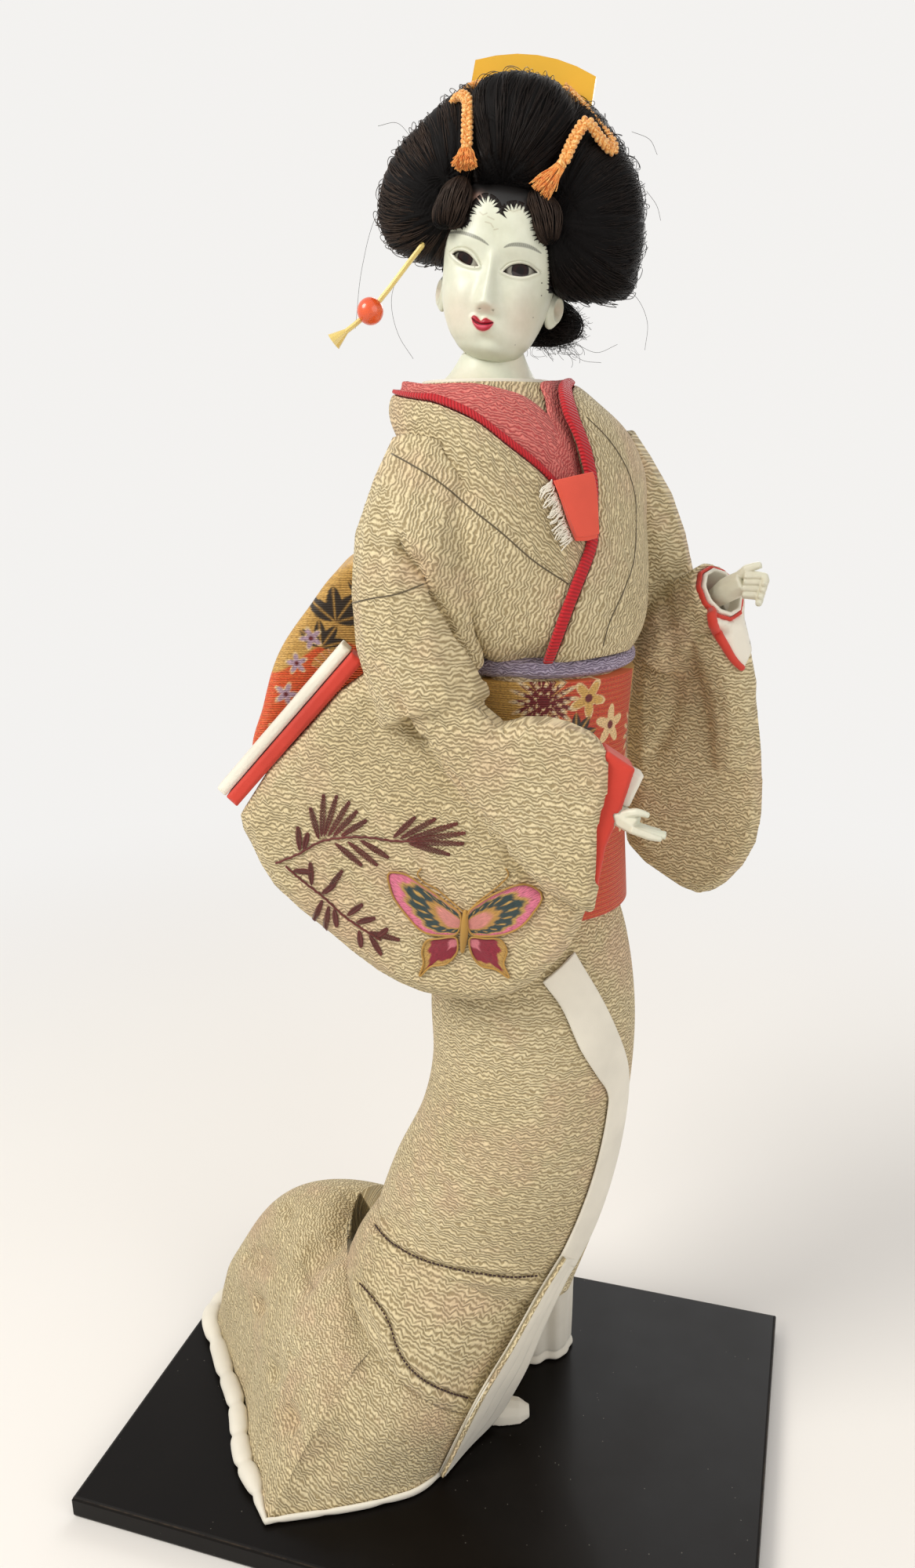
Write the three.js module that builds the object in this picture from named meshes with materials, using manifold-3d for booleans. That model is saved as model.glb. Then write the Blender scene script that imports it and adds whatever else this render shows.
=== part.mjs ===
// A dressed display doll in a trailing kimono, standing on a lacquered wooden board.
// Units are millimetres and Z is up. The origin is the centre of the board's underside and
// X runs along its long front edge. Sides are named from the doll: her right is the viewer's left.

import * as THREE from "three";
import { mergeVertices } from "three/addons/utils/BufferGeometryUtils.js";
import Module from "manifold-3d";

const wasm = await Module();
wasm.setup();

// Clearances
const gap = 0.3;
const slideGap = 0.35;

// Board
const boardLength = 240;
const boardWidth = 166;
const boardThickness = 9;
const boardBevel = 1.2;
const nailRadius = 1.1;
const nailHeadRadius = 2.6;
const nailHeadDepth = 1.2;
const nailBite = 9;

// Figure on the board. Heights of the figure are counted from the board's top.
const figureTurn = 17.645;

// Body
const bodyTurn = 50;
const coreInset = 7;
const coreBottom = 188;
const coreTop = 371;
const innerCollarTop = 384.5;
const seamHeight = 289;
const limbRadius = 5.2;
const wristRadius = 3.4;

// Kimono
const tuckInset = 1.6;
const obiBottom = 213.5;
const obiTop = 294;
const obiThickness = 3;
const bandHeight = 7.5;
const bandTop = obiTop + bandHeight;
const bandThickness = 3.2;
const pipingShare = 0.09;
const collarThickness = 1.5;
const liningThickness = 1.1;
const hemClearance = 0.4;
const bandRise = 1.1;
const underRobeTop = 76;

// Neck and head
const neckX = 18.5;
const neckY = 2;
const neckRadius = 8.8;
const neckBottom = 352;
const headX = 20.4;
const headY = 4;
const headHeight = 413.8;
const headYaw = -10.2;
const headRoll = 10.6;
const headNod = 0.7;
const eyeSpacing = 15;
const eyeRadius = 4.2;
const eyeSlitWidth = 6.8;
const eyeSlitHeight = 2.6;

// Comb, hairpin and hair cords
const combWidth = 36.4;
const combThickness = 2.6;
const combBackHeight = 13;
const combArch = 3.4;
const combTeeth = 13;
const combToothLength = 12;
const combToothWidth = 1.5;
const combY = 4;
const combTop = 56;
const pinRadius = 0.8;
const pinBeadRadius = 4;
const pinInHair = 12;
const cordRadius = 1.9;
const tasselRadius = 3.9;
const tasselLength = 12;
const hairClearance = 1.2;

// Finishes
const lacquer = { color: 0x0d0b0a, roughness: 0.22, metalness: 0 };
const steel = { color: 0x77746e, roughness: 0.4, metalness: 1 };
const crepe = { color: 0xa89f88, roughness: 0.9, metalness: 0 };
const straw = { color: 0xb9a06a, roughness: 0.95, metalness: 0 };
const wadding = { color: 0xe4dfd2, roughness: 1, metalness: 0 };
const whiteSilk = { color: 0xe6dfd6, roughness: 0.75, metalness: 0 };
const redSilk = { color: 0xb8322c, roughness: 0.8, metalness: 0 };
const pinkCrepe = { color: 0xd66b66, roughness: 0.9, metalness: 0 };
const lavenderCrepe = { color: 0x9c8bb4, roughness: 0.9, metalness: 0 };
const brocade = { color: 0xc8432a, roughness: 0.6, metalness: 0.1 };
const gofun = { color: 0xdedfd6, roughness: 0.45, metalness: 0 };
const glassEye = { color: 0x2a1710, roughness: 0.05, metalness: 0 };
const hairSilk = { color: 0x0b0809, roughness: 0.5, metalness: 0 };
const amber = { color: 0xd08a1c, roughness: 0.25, metalness: 0 };
const orangeCord = { color: 0xd98a35, roughness: 0.8, metalness: 0 };
const coral = { color: 0xd9532c, roughness: 0.35, metalness: 0 };

const radians = THREE.MathUtils.degToRad;
const point = (x, y, z) => new THREE.Vector3(x, y, z);

// Solids

function solidOf(geometry) {
  const bare = new THREE.BufferGeometry();
  bare.setAttribute("position", geometry.getAttribute("position"));
  if (geometry.index) bare.setIndex(geometry.index);
  const merged = mergeVertices(bare, 1e-4);
  const triVerts = new Uint32Array(merged.index.array);
  const vertProperties = new Float32Array(merged.attributes.position.array);
  const made = new wasm.Manifold(new wasm.Mesh({ numProp: 3, vertProperties, triVerts }));
  if (made.volume() > 0) return made;
  for (let i = 0; i < triVerts.length; i += 3) {
    const first = triVerts[i];
    triVerts[i] = triVerts[i + 1];
    triVerts[i + 1] = first;
  }
  return new wasm.Manifold(new wasm.Mesh({ numProp: 3, vertProperties, triVerts }));
}

function geometryOf(solid) {
  const mesh = solid.getMesh();
  const places = new Float32Array(mesh.numVert * 3);
  for (let i = 0; i < mesh.numVert; i += 1) {
    places.set(mesh.vertProperties.subarray(i * mesh.numProp, i * mesh.numProp + 3), i * 3);
  }
  const geometry = new THREE.BufferGeometry();
  geometry.setAttribute("position", new THREE.BufferAttribute(places, 3));
  geometry.setIndex(new THREE.BufferAttribute(new Uint32Array(mesh.triVerts), 1));
  geometry.computeVertexNormals();
  return geometry;
}

function moved(solid, matrix) {
  return solidOf(geometryOf(solid).applyMatrix4(matrix));
}

// The solid with every corner moved out along its normal, for a cut that leaves a clearance.
function swollen(solid, distance) {
  const geometry = geometryOf(solid);
  const place = geometry.getAttribute("position");
  const normal = geometry.getAttribute("normal");
  for (let i = 0; i < place.count; i += 1) {
    place.setXYZ(
      i,
      place.getX(i) + normal.getX(i) * distance,
      place.getY(i) + normal.getY(i) * distance,
      place.getZ(i) + normal.getZ(i) * distance,
    );
  }
  return solidOf(geometry);
}

function without(solid, ...cutters) {
  return cutters.reduce((left, cutter) => left.subtract(cutter), solid);
}

function joined(...solids) {
  return solids.reduce((all, solid) => all.add(solid));
}

// The largest of the bodies that a cut leaves.
function mainBody(solid) {
  const bodies = solid.decompose();
  return bodies.reduce((best, body) => (body.volume() > best.volume() ? body : best));
}

// A closed skin through rings with the same number of points, with a fan over each end.
function loft(rings) {
  const count = rings[0].length;
  const places = rings.flat().flatMap((p) => [p.x, p.y, p.z]);
  const triangles = [];
  for (let row = 0; row + 1 < rings.length; row += 1) {
    for (let i = 0; i < count; i += 1) {
      const a = row * count + i;
      const b = row * count + ((i + 1) % count);
      triangles.push(a, b, b + count);
      triangles.push(a, b + count, a + count);
    }
  }
  for (const row of [0, rings.length - 1]) {
    const ring = rings[row];
    const centre = ring.reduce((sum, p) => sum.add(p), point(0, 0, 0)).divideScalar(count);
    const hub = places.length / 3;
    places.push(centre.x, centre.y, centre.z);
    for (let i = 0; i < count; i += 1) {
      const a = row * count + i;
      const b = row * count + ((i + 1) % count);
      triangles.push(...(row === 0 ? [hub, b, a] : [hub, a, b]));
    }
  }
  const geometry = new THREE.BufferGeometry();
  geometry.setAttribute("position", new THREE.Float32BufferAttribute(places, 3));
  geometry.setIndex(triangles);
  return solidOf(geometry);
}

// An oval in a plane that may slope: station = [height, x, y, half width, half depth, slopeX, slopeY].
function ovalRing(station, turn, sides, grow) {
  const [height, x, y, a, b, slopeX = 0, slopeY = 0] = station;
  const ring = [];
  for (let i = 0; i < sides; i += 1) {
    const angle = (i / sides) * 2 * Math.PI;
    const u = (a + grow) * Math.cos(angle);
    const v = (b + grow) * Math.sin(angle);
    const dx = u * Math.cos(turn) - v * Math.sin(turn);
    const dy = u * Math.sin(turn) + v * Math.cos(turn);
    ring.push(point(x + dx, y + dy, height + slopeX * dx + slopeY * dy));
  }
  return ring;
}

function ovalLoft(stations, turn, sides, grow) {
  const rings = stations.map((station) => ovalRing(station, radians(turn), sides, grow));
  const low = Math.sign(stations[0][0] - stations[1][0]);
  rings[0].forEach((p) => p.add(point(0, 0, low * Math.max(grow, 0))));
  rings[rings.length - 1].forEach((p) => p.sub(point(0, 0, low * Math.max(grow, 0))));
  return loft(rings);
}

function ellipsoid(centre, half, tilt, grow, across = 12, down = 7) {
  const geometry = new THREE.SphereGeometry(1, across, down);
  geometry.rotateX(Math.PI / 2);
  geometry.scale(half.x + grow, half.y + grow, half.z + grow);
  geometry.rotateX(radians(tilt.x));
  geometry.rotateY(radians(tilt.y));
  geometry.rotateZ(radians(tilt.z));
  geometry.translate(centre.x, centre.y, centre.z);
  return solidOf(geometry);
}

// A limb of round sections whose radius changes along its path.
function limb(path, radii, sides, grow) {
  const curve = new THREE.CatmullRomCurve3(path);
  const steps = (path.length - 1) * 2;
  const run = path[path.length - 1].clone().sub(path[0]).normalize();
  const reference = Math.abs(run.y) > 0.9 ? point(1, 0, 0) : point(0, 1, 0);
  const rings = [];
  for (let i = 0; i <= steps; i += 1) {
    const t = i / steps;
    const centre = curve.getPoint(t);
    const along = curve.getTangent(t);
    const across = reference.clone().cross(along).normalize();
    const over = along.clone().cross(across);
    const place = t * (radii.length - 1);
    const index = Math.min(Math.floor(place), radii.length - 2);
    const radius = THREE.MathUtils.lerp(radii[index], radii[index + 1], place - index) + grow;
    if (i === 0) centre.addScaledVector(along, -grow);
    if (i === steps) centre.addScaledVector(along, grow);
    const ring = [];
    for (let k = 0; k < sides; k += 1) {
      const angle = (k / sides) * 2 * Math.PI;
      ring.push(
        centre
          .clone()
          .addScaledVector(across, radius * Math.cos(angle))
          .addScaledVector(over, radius * Math.sin(angle)),
      );
    }
    rings.push(ring);
  }
  return loft(rings);
}

// A round rod or cord along a curve.
function rod(path, radius, sides, steps) {
  const section = new THREE.Shape();
  for (let k = 0; k < sides; k += 1) {
    const angle = (k / sides) * 2 * Math.PI;
    if (k === 0) section.moveTo(radius, 0);
    else section.lineTo(radius * Math.cos(angle), radius * Math.sin(angle));
  }
  section.closePath();
  const extrudePath = new THREE.CatmullRomCurve3(path);
  return solidOf(new THREE.ExtrudeGeometry(section, { steps, extrudePath, bevelEnabled: false }));
}

// A padded slab of cloth: an outline in x and height, set upright in a turned plane.
function slab(outline, plane, thickness, round, grow) {
  const shape = new THREE.Shape(outline);
  const geometry = new THREE.ExtrudeGeometry(shape, {
    depth: thickness - 2 * round,
    bevelEnabled: true,
    bevelThickness: round + grow,
    bevelSize: round + grow,
    bevelOffset: -round,
    bevelSegments: 1,
  });
  const place = geometry.getAttribute("position");
  for (let i = 0; i < place.count; i += 1) {
    const x = place.getX(i);
    const height = place.getY(i);
    const depth = place.getZ(i) + round;
    const y = plane.y + plane.slope * (x - plane.x) + plane.lean * (height - plane.height) + depth;
    place.setXYZ(i, x, y, height);
  }
  return solidOf(geometry);
}

const flat = (pairs) => pairs.map(([x, height]) => new THREE.Vector2(x, height));

// A closed outline that runs smoothly through its points.
function smooth(outline, steps) {
  const curve = new THREE.CatmullRomCurve3(
    outline.map((p) => point(p.x, p.y, 0)),
    true,
  );
  const around = curve.getPoints(outline.length * steps).slice(0, -1);
  return around.map((p) => new THREE.Vector2(p.x, p.y));
}

// Board with its bevelled edge, and the nails that hold the feet from below

function boardSolid() {
  const inset = boardBevel;
  const shape = new THREE.Shape();
  shape.moveTo(-boardLength / 2 + inset, -boardWidth / 2 + inset);
  shape.lineTo(boardLength / 2 - inset, -boardWidth / 2 + inset);
  shape.lineTo(boardLength / 2 - inset, boardWidth / 2 - inset);
  shape.lineTo(-boardLength / 2 + inset, boardWidth / 2 - inset);
  shape.closePath();
  const geometry = new THREE.ExtrudeGeometry(shape, {
    depth: boardThickness - 2 * boardBevel,
    bevelEnabled: true,
    bevelThickness: boardBevel,
    bevelSize: boardBevel,
    bevelSegments: 2,
  });
  geometry.translate(0, 0, boardBevel);
  return solidOf(geometry);
}

function nailSolid(place, grow) {
  const profile = [
    [0, -grow],
    [nailHeadRadius + grow, -grow],
    [nailHeadRadius + grow, nailHeadDepth + grow],
    [nailRadius + grow, nailHeadDepth + grow],
    [nailRadius + grow, boardThickness + nailBite - 2 + grow],
    [0, boardThickness + nailBite + grow],
  ].map(([radius, height]) => new THREE.Vector2(radius, height));
  const geometry = new THREE.LatheGeometry(profile, 10);
  geometry.rotateX(Math.PI / 2);
  geometry.translate(place.x, place.y, 0.2 - boardThickness);
  return solidOf(geometry);
}

// Body sections

// The bodice over chest and shoulders, from the seam under the sash up to the collar's rim.
const bodiceStations = [
  [seamHeight, 33, 8, 27.5, 26.5],
  [300, 33, 8, 28, 27],
  [308, 32, 8, 34, 30],
  [322, 30.5, 8, 38.5, 30],
  [338, 29.5, 8, 40, 28.5],
  [356, 28.5, 8, 40, 27.5],
  [366, 25, 8, 38.5, 26.5],
  [375, 18.5, 8, 32.5, 25.5],
  [382, 15.5, 8, 26.5, 21.5],
];

// The skirt from the seam under the sash down to the first tuck.
const skirtStations = [
  [68.1, 8, 4, 38, 30, -0.371, -0.13],
  [100, 19, 5, 39, 32, -0.24, -0.08],
  [125, 27, 6, 37, 33, -0.12, -0.04],
  [150, 31, 7, 36.5, 33],
  [175, 31, 7, 36.5, 33],
  [200, 31, 8, 33, 31],
  [obiBottom, 31.5, 8, 29, 28.5],
  [250, 32, 8, 27, 27],
  [seamHeight - gap, 33, 8, 27, 26.5],
];

// Between the two tucks.
const skirtBandStations = [
  [42.5, -10.5, -1, 29.5, 35, -0.811, 0.223],
  [57, -4, 1, 32, 33, -0.6, 0.05],
  [76, 9, 4, 38 - tuckInset, 30 - tuckInset, -0.371, -0.13],
];

const underRobeTurn = -12;
const underRobeStations = [
  [hemClearance, 27, 32, 22, 14],
  [30, 27, 27, 22, 15],
  [56, 27, 20, 21.5, 15.5],
  [underRobeTop, 26, 14, 19, 15],
];

const obiStations = [
  [obiBottom, 31.5, 8, 29, 28.5],
  [250, 32, 8, 27, 27],
  [seamHeight, 33, 8, 27.5, 27],
  [obiTop, 33, 8, 28, 27.5],
];

const sashBandStations = [
  [obiTop + 2 * gap, 33, 8, 29, 28],
  [obiTop + 2, 33, 8, 28 + bandThickness, 27 + bandThickness],
  [bandTop - 1.5, 33, 8, 28.4 + bandThickness, 27.4 + bandThickness],
  [bandTop, 33, 8, 29.4, 28.4],
];

const neckOpeningStations = [
  [373, 18, 7, 23, 18],
  [379, 17, 7.5, 23, 18.5],
  [392, 16, 8, 23, 18.5],
];
const innerCollarStations = [
  neckOpeningStations[0],
  neckOpeningStations[1],
  [innerCollarTop, 16.3, 7.8, 23, 18.5],
];
const neckDishStations = [
  [374.6, 18, 6, 14, 12],
  [378, 17.5, 7, 19, 15],
  [386, 16.5, 7.5, 21.4, 17],
  [393, 16, 8, 21.6, 17.1],
];

const bodySides = 16;

const bodice = (grow) => ovalLoft(bodiceStations, bodyTurn, bodySides, grow);
const skirt = (grow) => ovalLoft(skirtStations, 0, bodySides, grow);
const skirtBand = (grow) => ovalLoft(skirtBandStations, 0, bodySides, grow);
const underRobe = (grow) => ovalLoft(underRobeStations, underRobeTurn, 16, grow);

function stationAt(stations, height) {
  const above = stations.findIndex((station) => station[0] >= height);
  const index = above < 0 ? stations.length - 1 : Math.max(above, 1);
  const low = stations[index - 1];
  const high = stations[index];
  const share = THREE.MathUtils.clamp((height - low[0]) / (high[0] - low[0]), 0, 1);
  const values = [0, 1, 2, 3, 4, 5, 6];
  const mixed = values.map((i) => THREE.MathUtils.lerp(low[i] ?? 0, high[i] ?? 0, share));
  mixed[0] = height;
  return mixed;
}

const widened = (stations, by) => stations.map(([h, x, y, a, b]) => [h, x, y, a + by, b + by]);

// The straw core fills the bodice and ends inside the hips.
function coreStations() {
  const heights = [coreBottom, 215, 250];
  const lower = heights.map((height) => stationAt(skirtStations, height));
  const upper = [300, 322, 345, 362, coreTop].map((height) => stationAt(bodiceStations, height));
  return [...lower, ...upper].map(([height, x, y, a, b]) => [
    height,
    x,
    y,
    a - coreInset,
    b - coreInset,
  ]);
}

const core = (grow) => ovalLoft(coreStations(), bodyTurn, 10, grow);

// A point on a form of oval stations, at an angle from its long axis and a height, lifted off it.
function surfacePoint(form, angle, height, lift) {
  const at = (degrees, level) => {
    const [, x, y, a, b, slopeX, slopeY] = stationAt(form.stations, level);
    const turn = radians(form.turn);
    const u = a * Math.cos(radians(degrees));
    const v = b * Math.sin(radians(degrees));
    const dx = u * Math.cos(turn) - v * Math.sin(turn);
    const dy = u * Math.sin(turn) + v * Math.cos(turn);
    return point(x + dx, y + dy, level + slopeX * dx + slopeY * dy);
  };
  const around = at(angle + 2, height).sub(at(angle - 2, height));
  const upward = at(angle, height + 3).sub(at(angle, height - 3));
  const outward = around.cross(upward).normalize();
  return at(angle, height).addScaledVector(outward, lift);
}

// A band of cloth on such a form between two edges, each a list of [angle, height].
function surfaceBand(form, edges, share, lift, thickness, steps, columns = 2) {
  const curves = edges.map(
    (edge) => new THREE.CatmullRomCurve3(edge.map(([angle, height]) => point(angle, height, 0))),
  );
  const rings = [];
  for (let i = 0; i <= steps; i += 1) {
    const [a, b] = curves.map((curve) => curve.getPoint(i / steps));
    const across = [];
    for (let k = 0; k <= columns; k += 1) {
      across.push(a.clone().lerp(b, THREE.MathUtils.lerp(share[0], share[1], k / columns)));
    }
    const raise = typeof lift === "function" ? lift(i / steps) : lift;
    const under = across.map((p) => surfacePoint(form, p.x, p.y, raise));
    const over = across.map((p) => surfacePoint(form, p.x, p.y, raise + thickness));
    rings.push([...under, ...over.reverse()]);
  }
  return loft(rings);
}

const bodiceForm = { stations: bodiceStations, turn: bodyTurn };
const skirtForm = { stations: skirtStations, turn: 0 };

// Collar routes on the bodice, from the nape round to the sash, as [angle, height].
const rightCollarInner = [
  [95, 381],
  [140, 380],
  [178, 377.7],
  [194, 376.8],
  [210, 373],
  [220, 367.2],
  [230.6, 360.8],
  [240, 353.5],
  [256, 342],
];
const rightCollarOuter = [
  [95, 367],
  [135, 367],
  [170, 363],
  [184, 355],
  [197, 347],
  [212, 340],
  [225, 331.7],
  [238, 325],
  [252, 316],
];
const leftCollarInner = [
  [85, 381],
  [45, 382],
  [0, 382],
  [-45, 381.5],
  [-85, 379.5],
  [-103, 372],
  [-106.5, 362],
  [-107.5, 350],
  [-108, 337.5],
  [-120, 324],
  [-140, 303.5],
];
const leftCollarOuter = [
  [85, 367],
  [40, 368],
  [5, 368],
  [-15, 366],
  [-28, 358],
  [-35, 348],
  [-42, 337],
  [-50, 328],
  [-60, 318],
  [-70, 310],
  [-82, 303.5],
];
const rightPinkEdges = [
  [[120, 384], [160, 383], [183, 381.5], [214, 381.2], [233, 379.5], [246, 377], [253, 372], [257, 365]],
  [[120, 379], [160, 378], [178, 376], [204, 372.5], [218, 365], [230, 358], [240, 351], [248, 345]],
];
const leftPinkEdges = [
  [[60, 384], [0, 384], [-45, 383.5], [-90, 382], [-102, 376], [-112, 369], [-124, 362], [-131, 353]],
  [[60, 380], [0, 380], [-40, 379.5], [-80, 377.5], [-98, 370], [-103, 360], [-104, 351], [-106, 343]],
];

const tissueEdges = [
  [[-125, 355], [-116, 355.2], [-107, 355]],
  [[-124, 336], [-115, 335.6], [-106, 336]],
];

const layer = collarThickness + gap;
const clearOfSkin = 0.8;
const collarEdges = {
  right: [rightCollarInner, rightCollarOuter],
  left: [leftCollarInner, leftCollarOuter],
};
const leftLift = (t) => clearOfSkin + layer + layer * THREE.MathUtils.smoothstep(t, 0.3, 0.5);
const pipingRange = [0, pipingShare];
const collarRange = [pipingShare + 0.02, 1];

// Head, in its own frame: x to her left, y to the back of the head, z up, face at -y

const headMatrix = new THREE.Matrix4().compose(
  point(headX, headY, headHeight),
  new THREE.Quaternion().setFromEuler(
    new THREE.Euler(radians(headNod), radians(headRoll), radians(headYaw), "YZX"),
  ),
  point(1, 1, 1),
);
const intoHead = headMatrix.clone().invert();

// Levels of the skull: [height, half width, front, back].
const skullLevels = [
  [-27.6, 3.2, -13.2, -8],
  [-25.6, 6.6, -15.4, -3],
  [-21.5, 10, -16.9, 3],
  [-16, 13, -17.4, 8],
  [-9, 15.4, -17.3, 14],
  [-1, 16.9, -17.2, 19],
  [7, 17.6, -18.1, 21.5],
  [14, 17, -17.9, 22],
  [21, 14.3, -14.9, 20.5],
  [26, 9, -9.2, 15.5],
  [28.5, 3, -2, 6],
];

const bump = (x, width) => Math.exp(-((x / width) ** 2));

// How far the face stands out at a place across and up.
function relief(x, z) {
  const rise = THREE.MathUtils.smoothstep(3 - z, 0, 13.6);
  const tip = 1 - THREE.MathUtils.smoothstep(-z, 10.8, 13.4);
  const nose = 4.6 * rise * tip * bump(x, 1.5 + 1.4 * rise);
  const socket = 1.5 * bump(Math.abs(x) - eyeSpacing / 2, 4.2) * bump(z + 0.2, 2.6);
  const brow = 0.6 * bump(Math.abs(x) - eyeSpacing / 2, 5) * bump(z - 5, 2.5);
  const lips = 1.5 * bump(x, 3) * bump(z + 16, 1.9);
  const chin = 0.9 * bump(x, 4.5) * bump(z + 23, 2.6);
  const cheek = 0.8 * bump(Math.abs(x) - 9, 4) * bump(z + 9, 5);
  return nose - socket + brow + lips + chin + cheek;
}

function skullSolid(levels, sides, grow) {
  const curve = new THREE.CatmullRomCurve3(
    skullLevels.map(([z, half, front]) => point(z, half, front)),
  );
  const backs = new THREE.CatmullRomCurve3(skullLevels.map(([z, , , back]) => point(z, back, 0)));
  const rings = [];
  for (let row = 0; row <= levels; row += 1) {
    const t = row / levels;
    const { x: z, y: half, z: front } = curve.getPoint(t);
    const back = backs.getPoint(t).y;
    const middle = (front + back) / 2;
    const reach = (back - front) / 2 + grow;
    const end = row === 0 ? -grow : row === levels ? grow : 0;
    const ring = [];
    for (let i = 0; i < sides; i += 1) {
      const turn = (i / sides) * 2 * Math.PI;
      const angle = turn + 0.42 * Math.cos(turn);
      const facing = Math.max(-Math.sin(angle), 0);
      const fullness = 0.86;
      const bulge = (value) => Math.sign(value) * Math.abs(value) ** fullness;
      const x = (half + grow) * bulge(Math.cos(angle));
      const y = middle + reach * bulge(Math.sin(angle));
      ring.push(point(x, y - facing * relief(x, z), z + end));
    }
    rings.push(ring);
  }
  return loft(rings);
}

const earTilt = (side) => point(-12, side * 8, side * 20);

function earShell(side, grow) {
  return ellipsoid(point(side * 17.3, 5, -6.5), point(2.1, 3.9, 5.2), earTilt(side), grow, 8, 6);
}

function earSolid(side) {
  const hollow = ellipsoid(point(side * 19.6, 4, -5.6), point(1.3, 2.1, 3), earTilt(side), 0, 6, 4);
  return earShell(side, 0).subtract(hollow);
}

const neckProfile = [
  [0, neckBottom],
  [neckRadius - 2.4, neckBottom],
  [neckRadius - 1.4, neckBottom + 12],
  [neckRadius - 0.4, neckBottom + 24],
  [neckRadius, 385],
  [neckRadius + 0.2, 392],
  [neckRadius + 1.2, 400],
  [0, 404],
];

function neckSolid(grow) {
  const profile = neckProfile.map(([radius, height], i) => {
    const low = i < 2 ? -grow : 0;
    return new THREE.Vector2(radius > 0 ? radius + grow : 0, height + low);
  });
  const geometry = new THREE.LatheGeometry(profile, 14);
  geometry.rotateX(Math.PI / 2);
  geometry.translate(neckX, neckY, 0);
  return solidOf(geometry);
}

const eyePlace = (side) => point((side * eyeSpacing) / 2, -10.9, -0.2);

function eyeSolid(side, grow) {
  const half = point(eyeRadius, eyeRadius, eyeRadius);
  return ellipsoid(eyePlace(side), half, point(0, 0, 0), grow, 12, 7);
}

function eyeSlit(side) {
  const half = point(eyeSlitWidth / 2, 7, eyeSlitHeight / 2);
  const centre = eyePlace(side).add(point(0, -4, 0));
  return ellipsoid(centre, half, point(0, -side * 4, 0), 0, 12, 4);
}

// Hair: combed masses, each with the outline that shows from the front as [x, z]

const pompadourOutline = [
  [-9.5, 20.5],
  [-11.5, 27.5],
  [-13.4, 34],
  [-15, 42],
  [-13.2, 47.4],
  [-8, 50.6],
  [1, 51.8],
  [9, 50.3],
  [14, 46],
  [15.8, 40],
  [14.6, 34],
  [11.4, 27.5],
  [8.5, 21.5],
  [-1, 19.5],
];
const rightWingOutline = [
  [-11, 44],
  [-18, 48],
  [-24, 43.5],
  [-31, 35.5],
  [-36.8, 27.5],
  [-39.4, 18],
  [-38.8, 9],
  [-34.8, 3.2],
  [-28, 0.8],
  [-20.8, 0.6],
  [-15, 4],
  [-12, 14],
  [-10.5, 28],
];
const leftWingOutline = [
  [9, 42],
  [13.5, 48.5],
  [20, 47],
  [28, 39.5],
  [35.5, 30.6],
  [39.2, 20],
  [40.1, 9],
  [39, 1],
  [33, -2.2],
  [25, -3.2],
  [18, -3],
  [14, 4],
  [12.5, 16],
  [10.5, 29],
];
const puffSections = [-0.97, -0.75, -0.3, 0.25, 0.72, 0.97];
const puffFullness = 2.5;

// A combed mass: its outline shrinks towards a gathered front and back, which lie at gather.x.
function puff(outline, middle, depth, gather) {
  const rings = puffSections.map((t) => {
    const share = (1 - Math.abs(t) ** puffFullness) ** (1 / puffFullness);
    const drawn = (t < 0 ? gather.front : gather.back) * Math.abs(t) ** 3;
    const y = t < 0 ? THREE.MathUtils.mapLinear(t, -1, 0, depth[0], middle.y) : middle.y + t * depth[1];
    return outline.map(([x, z]) =>
      point(middle.x + (x - middle.x) * share + drawn, y, middle.z + (z - middle.z) * share),
    );
  });
  return loft(rings);
}

const straight = { front: 0, back: 0 };
const hairForms = {
  cap: ellipsoid(point(0, 3.5, 4), point(18.9, 22.5, 27.5), point(0, 0, 0), 0),
  back: ellipsoid(point(0, 23, 15), point(19, 14, 22), point(0, 0, 0), 0),
  knot: ellipsoid(point(0, 19, 43), point(13, 11, 10), point(0, 0, 0), 0),
  front: puff(pompadourOutline, point(0, -4, 33), [-20.5, 20], straight),
  right: puff(rightWingOutline, point(-24, 3, 21), [-14.5, 20], { front: 6, back: 7 }),
  left: puff(leftWingOutline, point(25, 4, 20), [-14.5, 20], { front: -6, back: -7 }),
  nape: ellipsoid(point(7, 21, -8.5), point(18, 7.5, 8.5), point(0, 4, 0), 0),
};

// Everything in front of the hairline, which runs from the forehead down to the ears.
function faceSide() {
  const box = new THREE.BoxGeometry(80, 60, 60);
  box.translate(0, -30, -30);
  box.rotateX(radians(-45));
  box.translate(0, -8, 6.5);
  return solidOf(box);
}

// Comb: an arched back with teeth, in the head's frame

function combShape(grow, teeth) {
  const half = combWidth / 2 + grow;
  const backBottom = combTop - combBackHeight;
  const toothBottom = backBottom - combToothLength;
  const shape = new THREE.Shape();
  const slotBottom = toothBottom - 0.5 - grow;
  shape.moveTo(-half, teeth ? backBottom : slotBottom);
  if (teeth) {
    const pitch = (2 * half - combToothWidth) / (combTeeth - 1);
    for (let i = 0; i < combTeeth; i += 1) {
      const left = -half + i * pitch;
      if (i > 0) shape.lineTo(left, backBottom);
      shape.lineTo(left, toothBottom + 1);
      shape.lineTo(left + combToothWidth / 2, toothBottom);
      shape.lineTo(left + combToothWidth, toothBottom + 1);
      if (i + 1 < combTeeth) shape.lineTo(left + combToothWidth, backBottom);
    }
    shape.lineTo(half, backBottom);
  } else {
    shape.lineTo(half, slotBottom);
  }
  shape.lineTo(half - (teeth ? 0.4 : 0), combTop + (teeth ? 0 : 60));
  if (teeth) shape.quadraticCurveTo(0, combTop + 2 * combArch, -half + 0.4, combTop);
  else shape.lineTo(-half, combTop + 60);
  shape.closePath();
  return shape;
}

function combSolid() {
  const geometry = new THREE.ExtrudeGeometry(combShape(0, true), {
    depth: combThickness,
    bevelEnabled: false,
    curveSegments: 6,
  });
  geometry.translate(0, 0, -combThickness / 2);
  geometry.rotateX(Math.PI / 2);
  geometry.translate(0, combY, 0);
  return solidOf(geometry);
}

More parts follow.
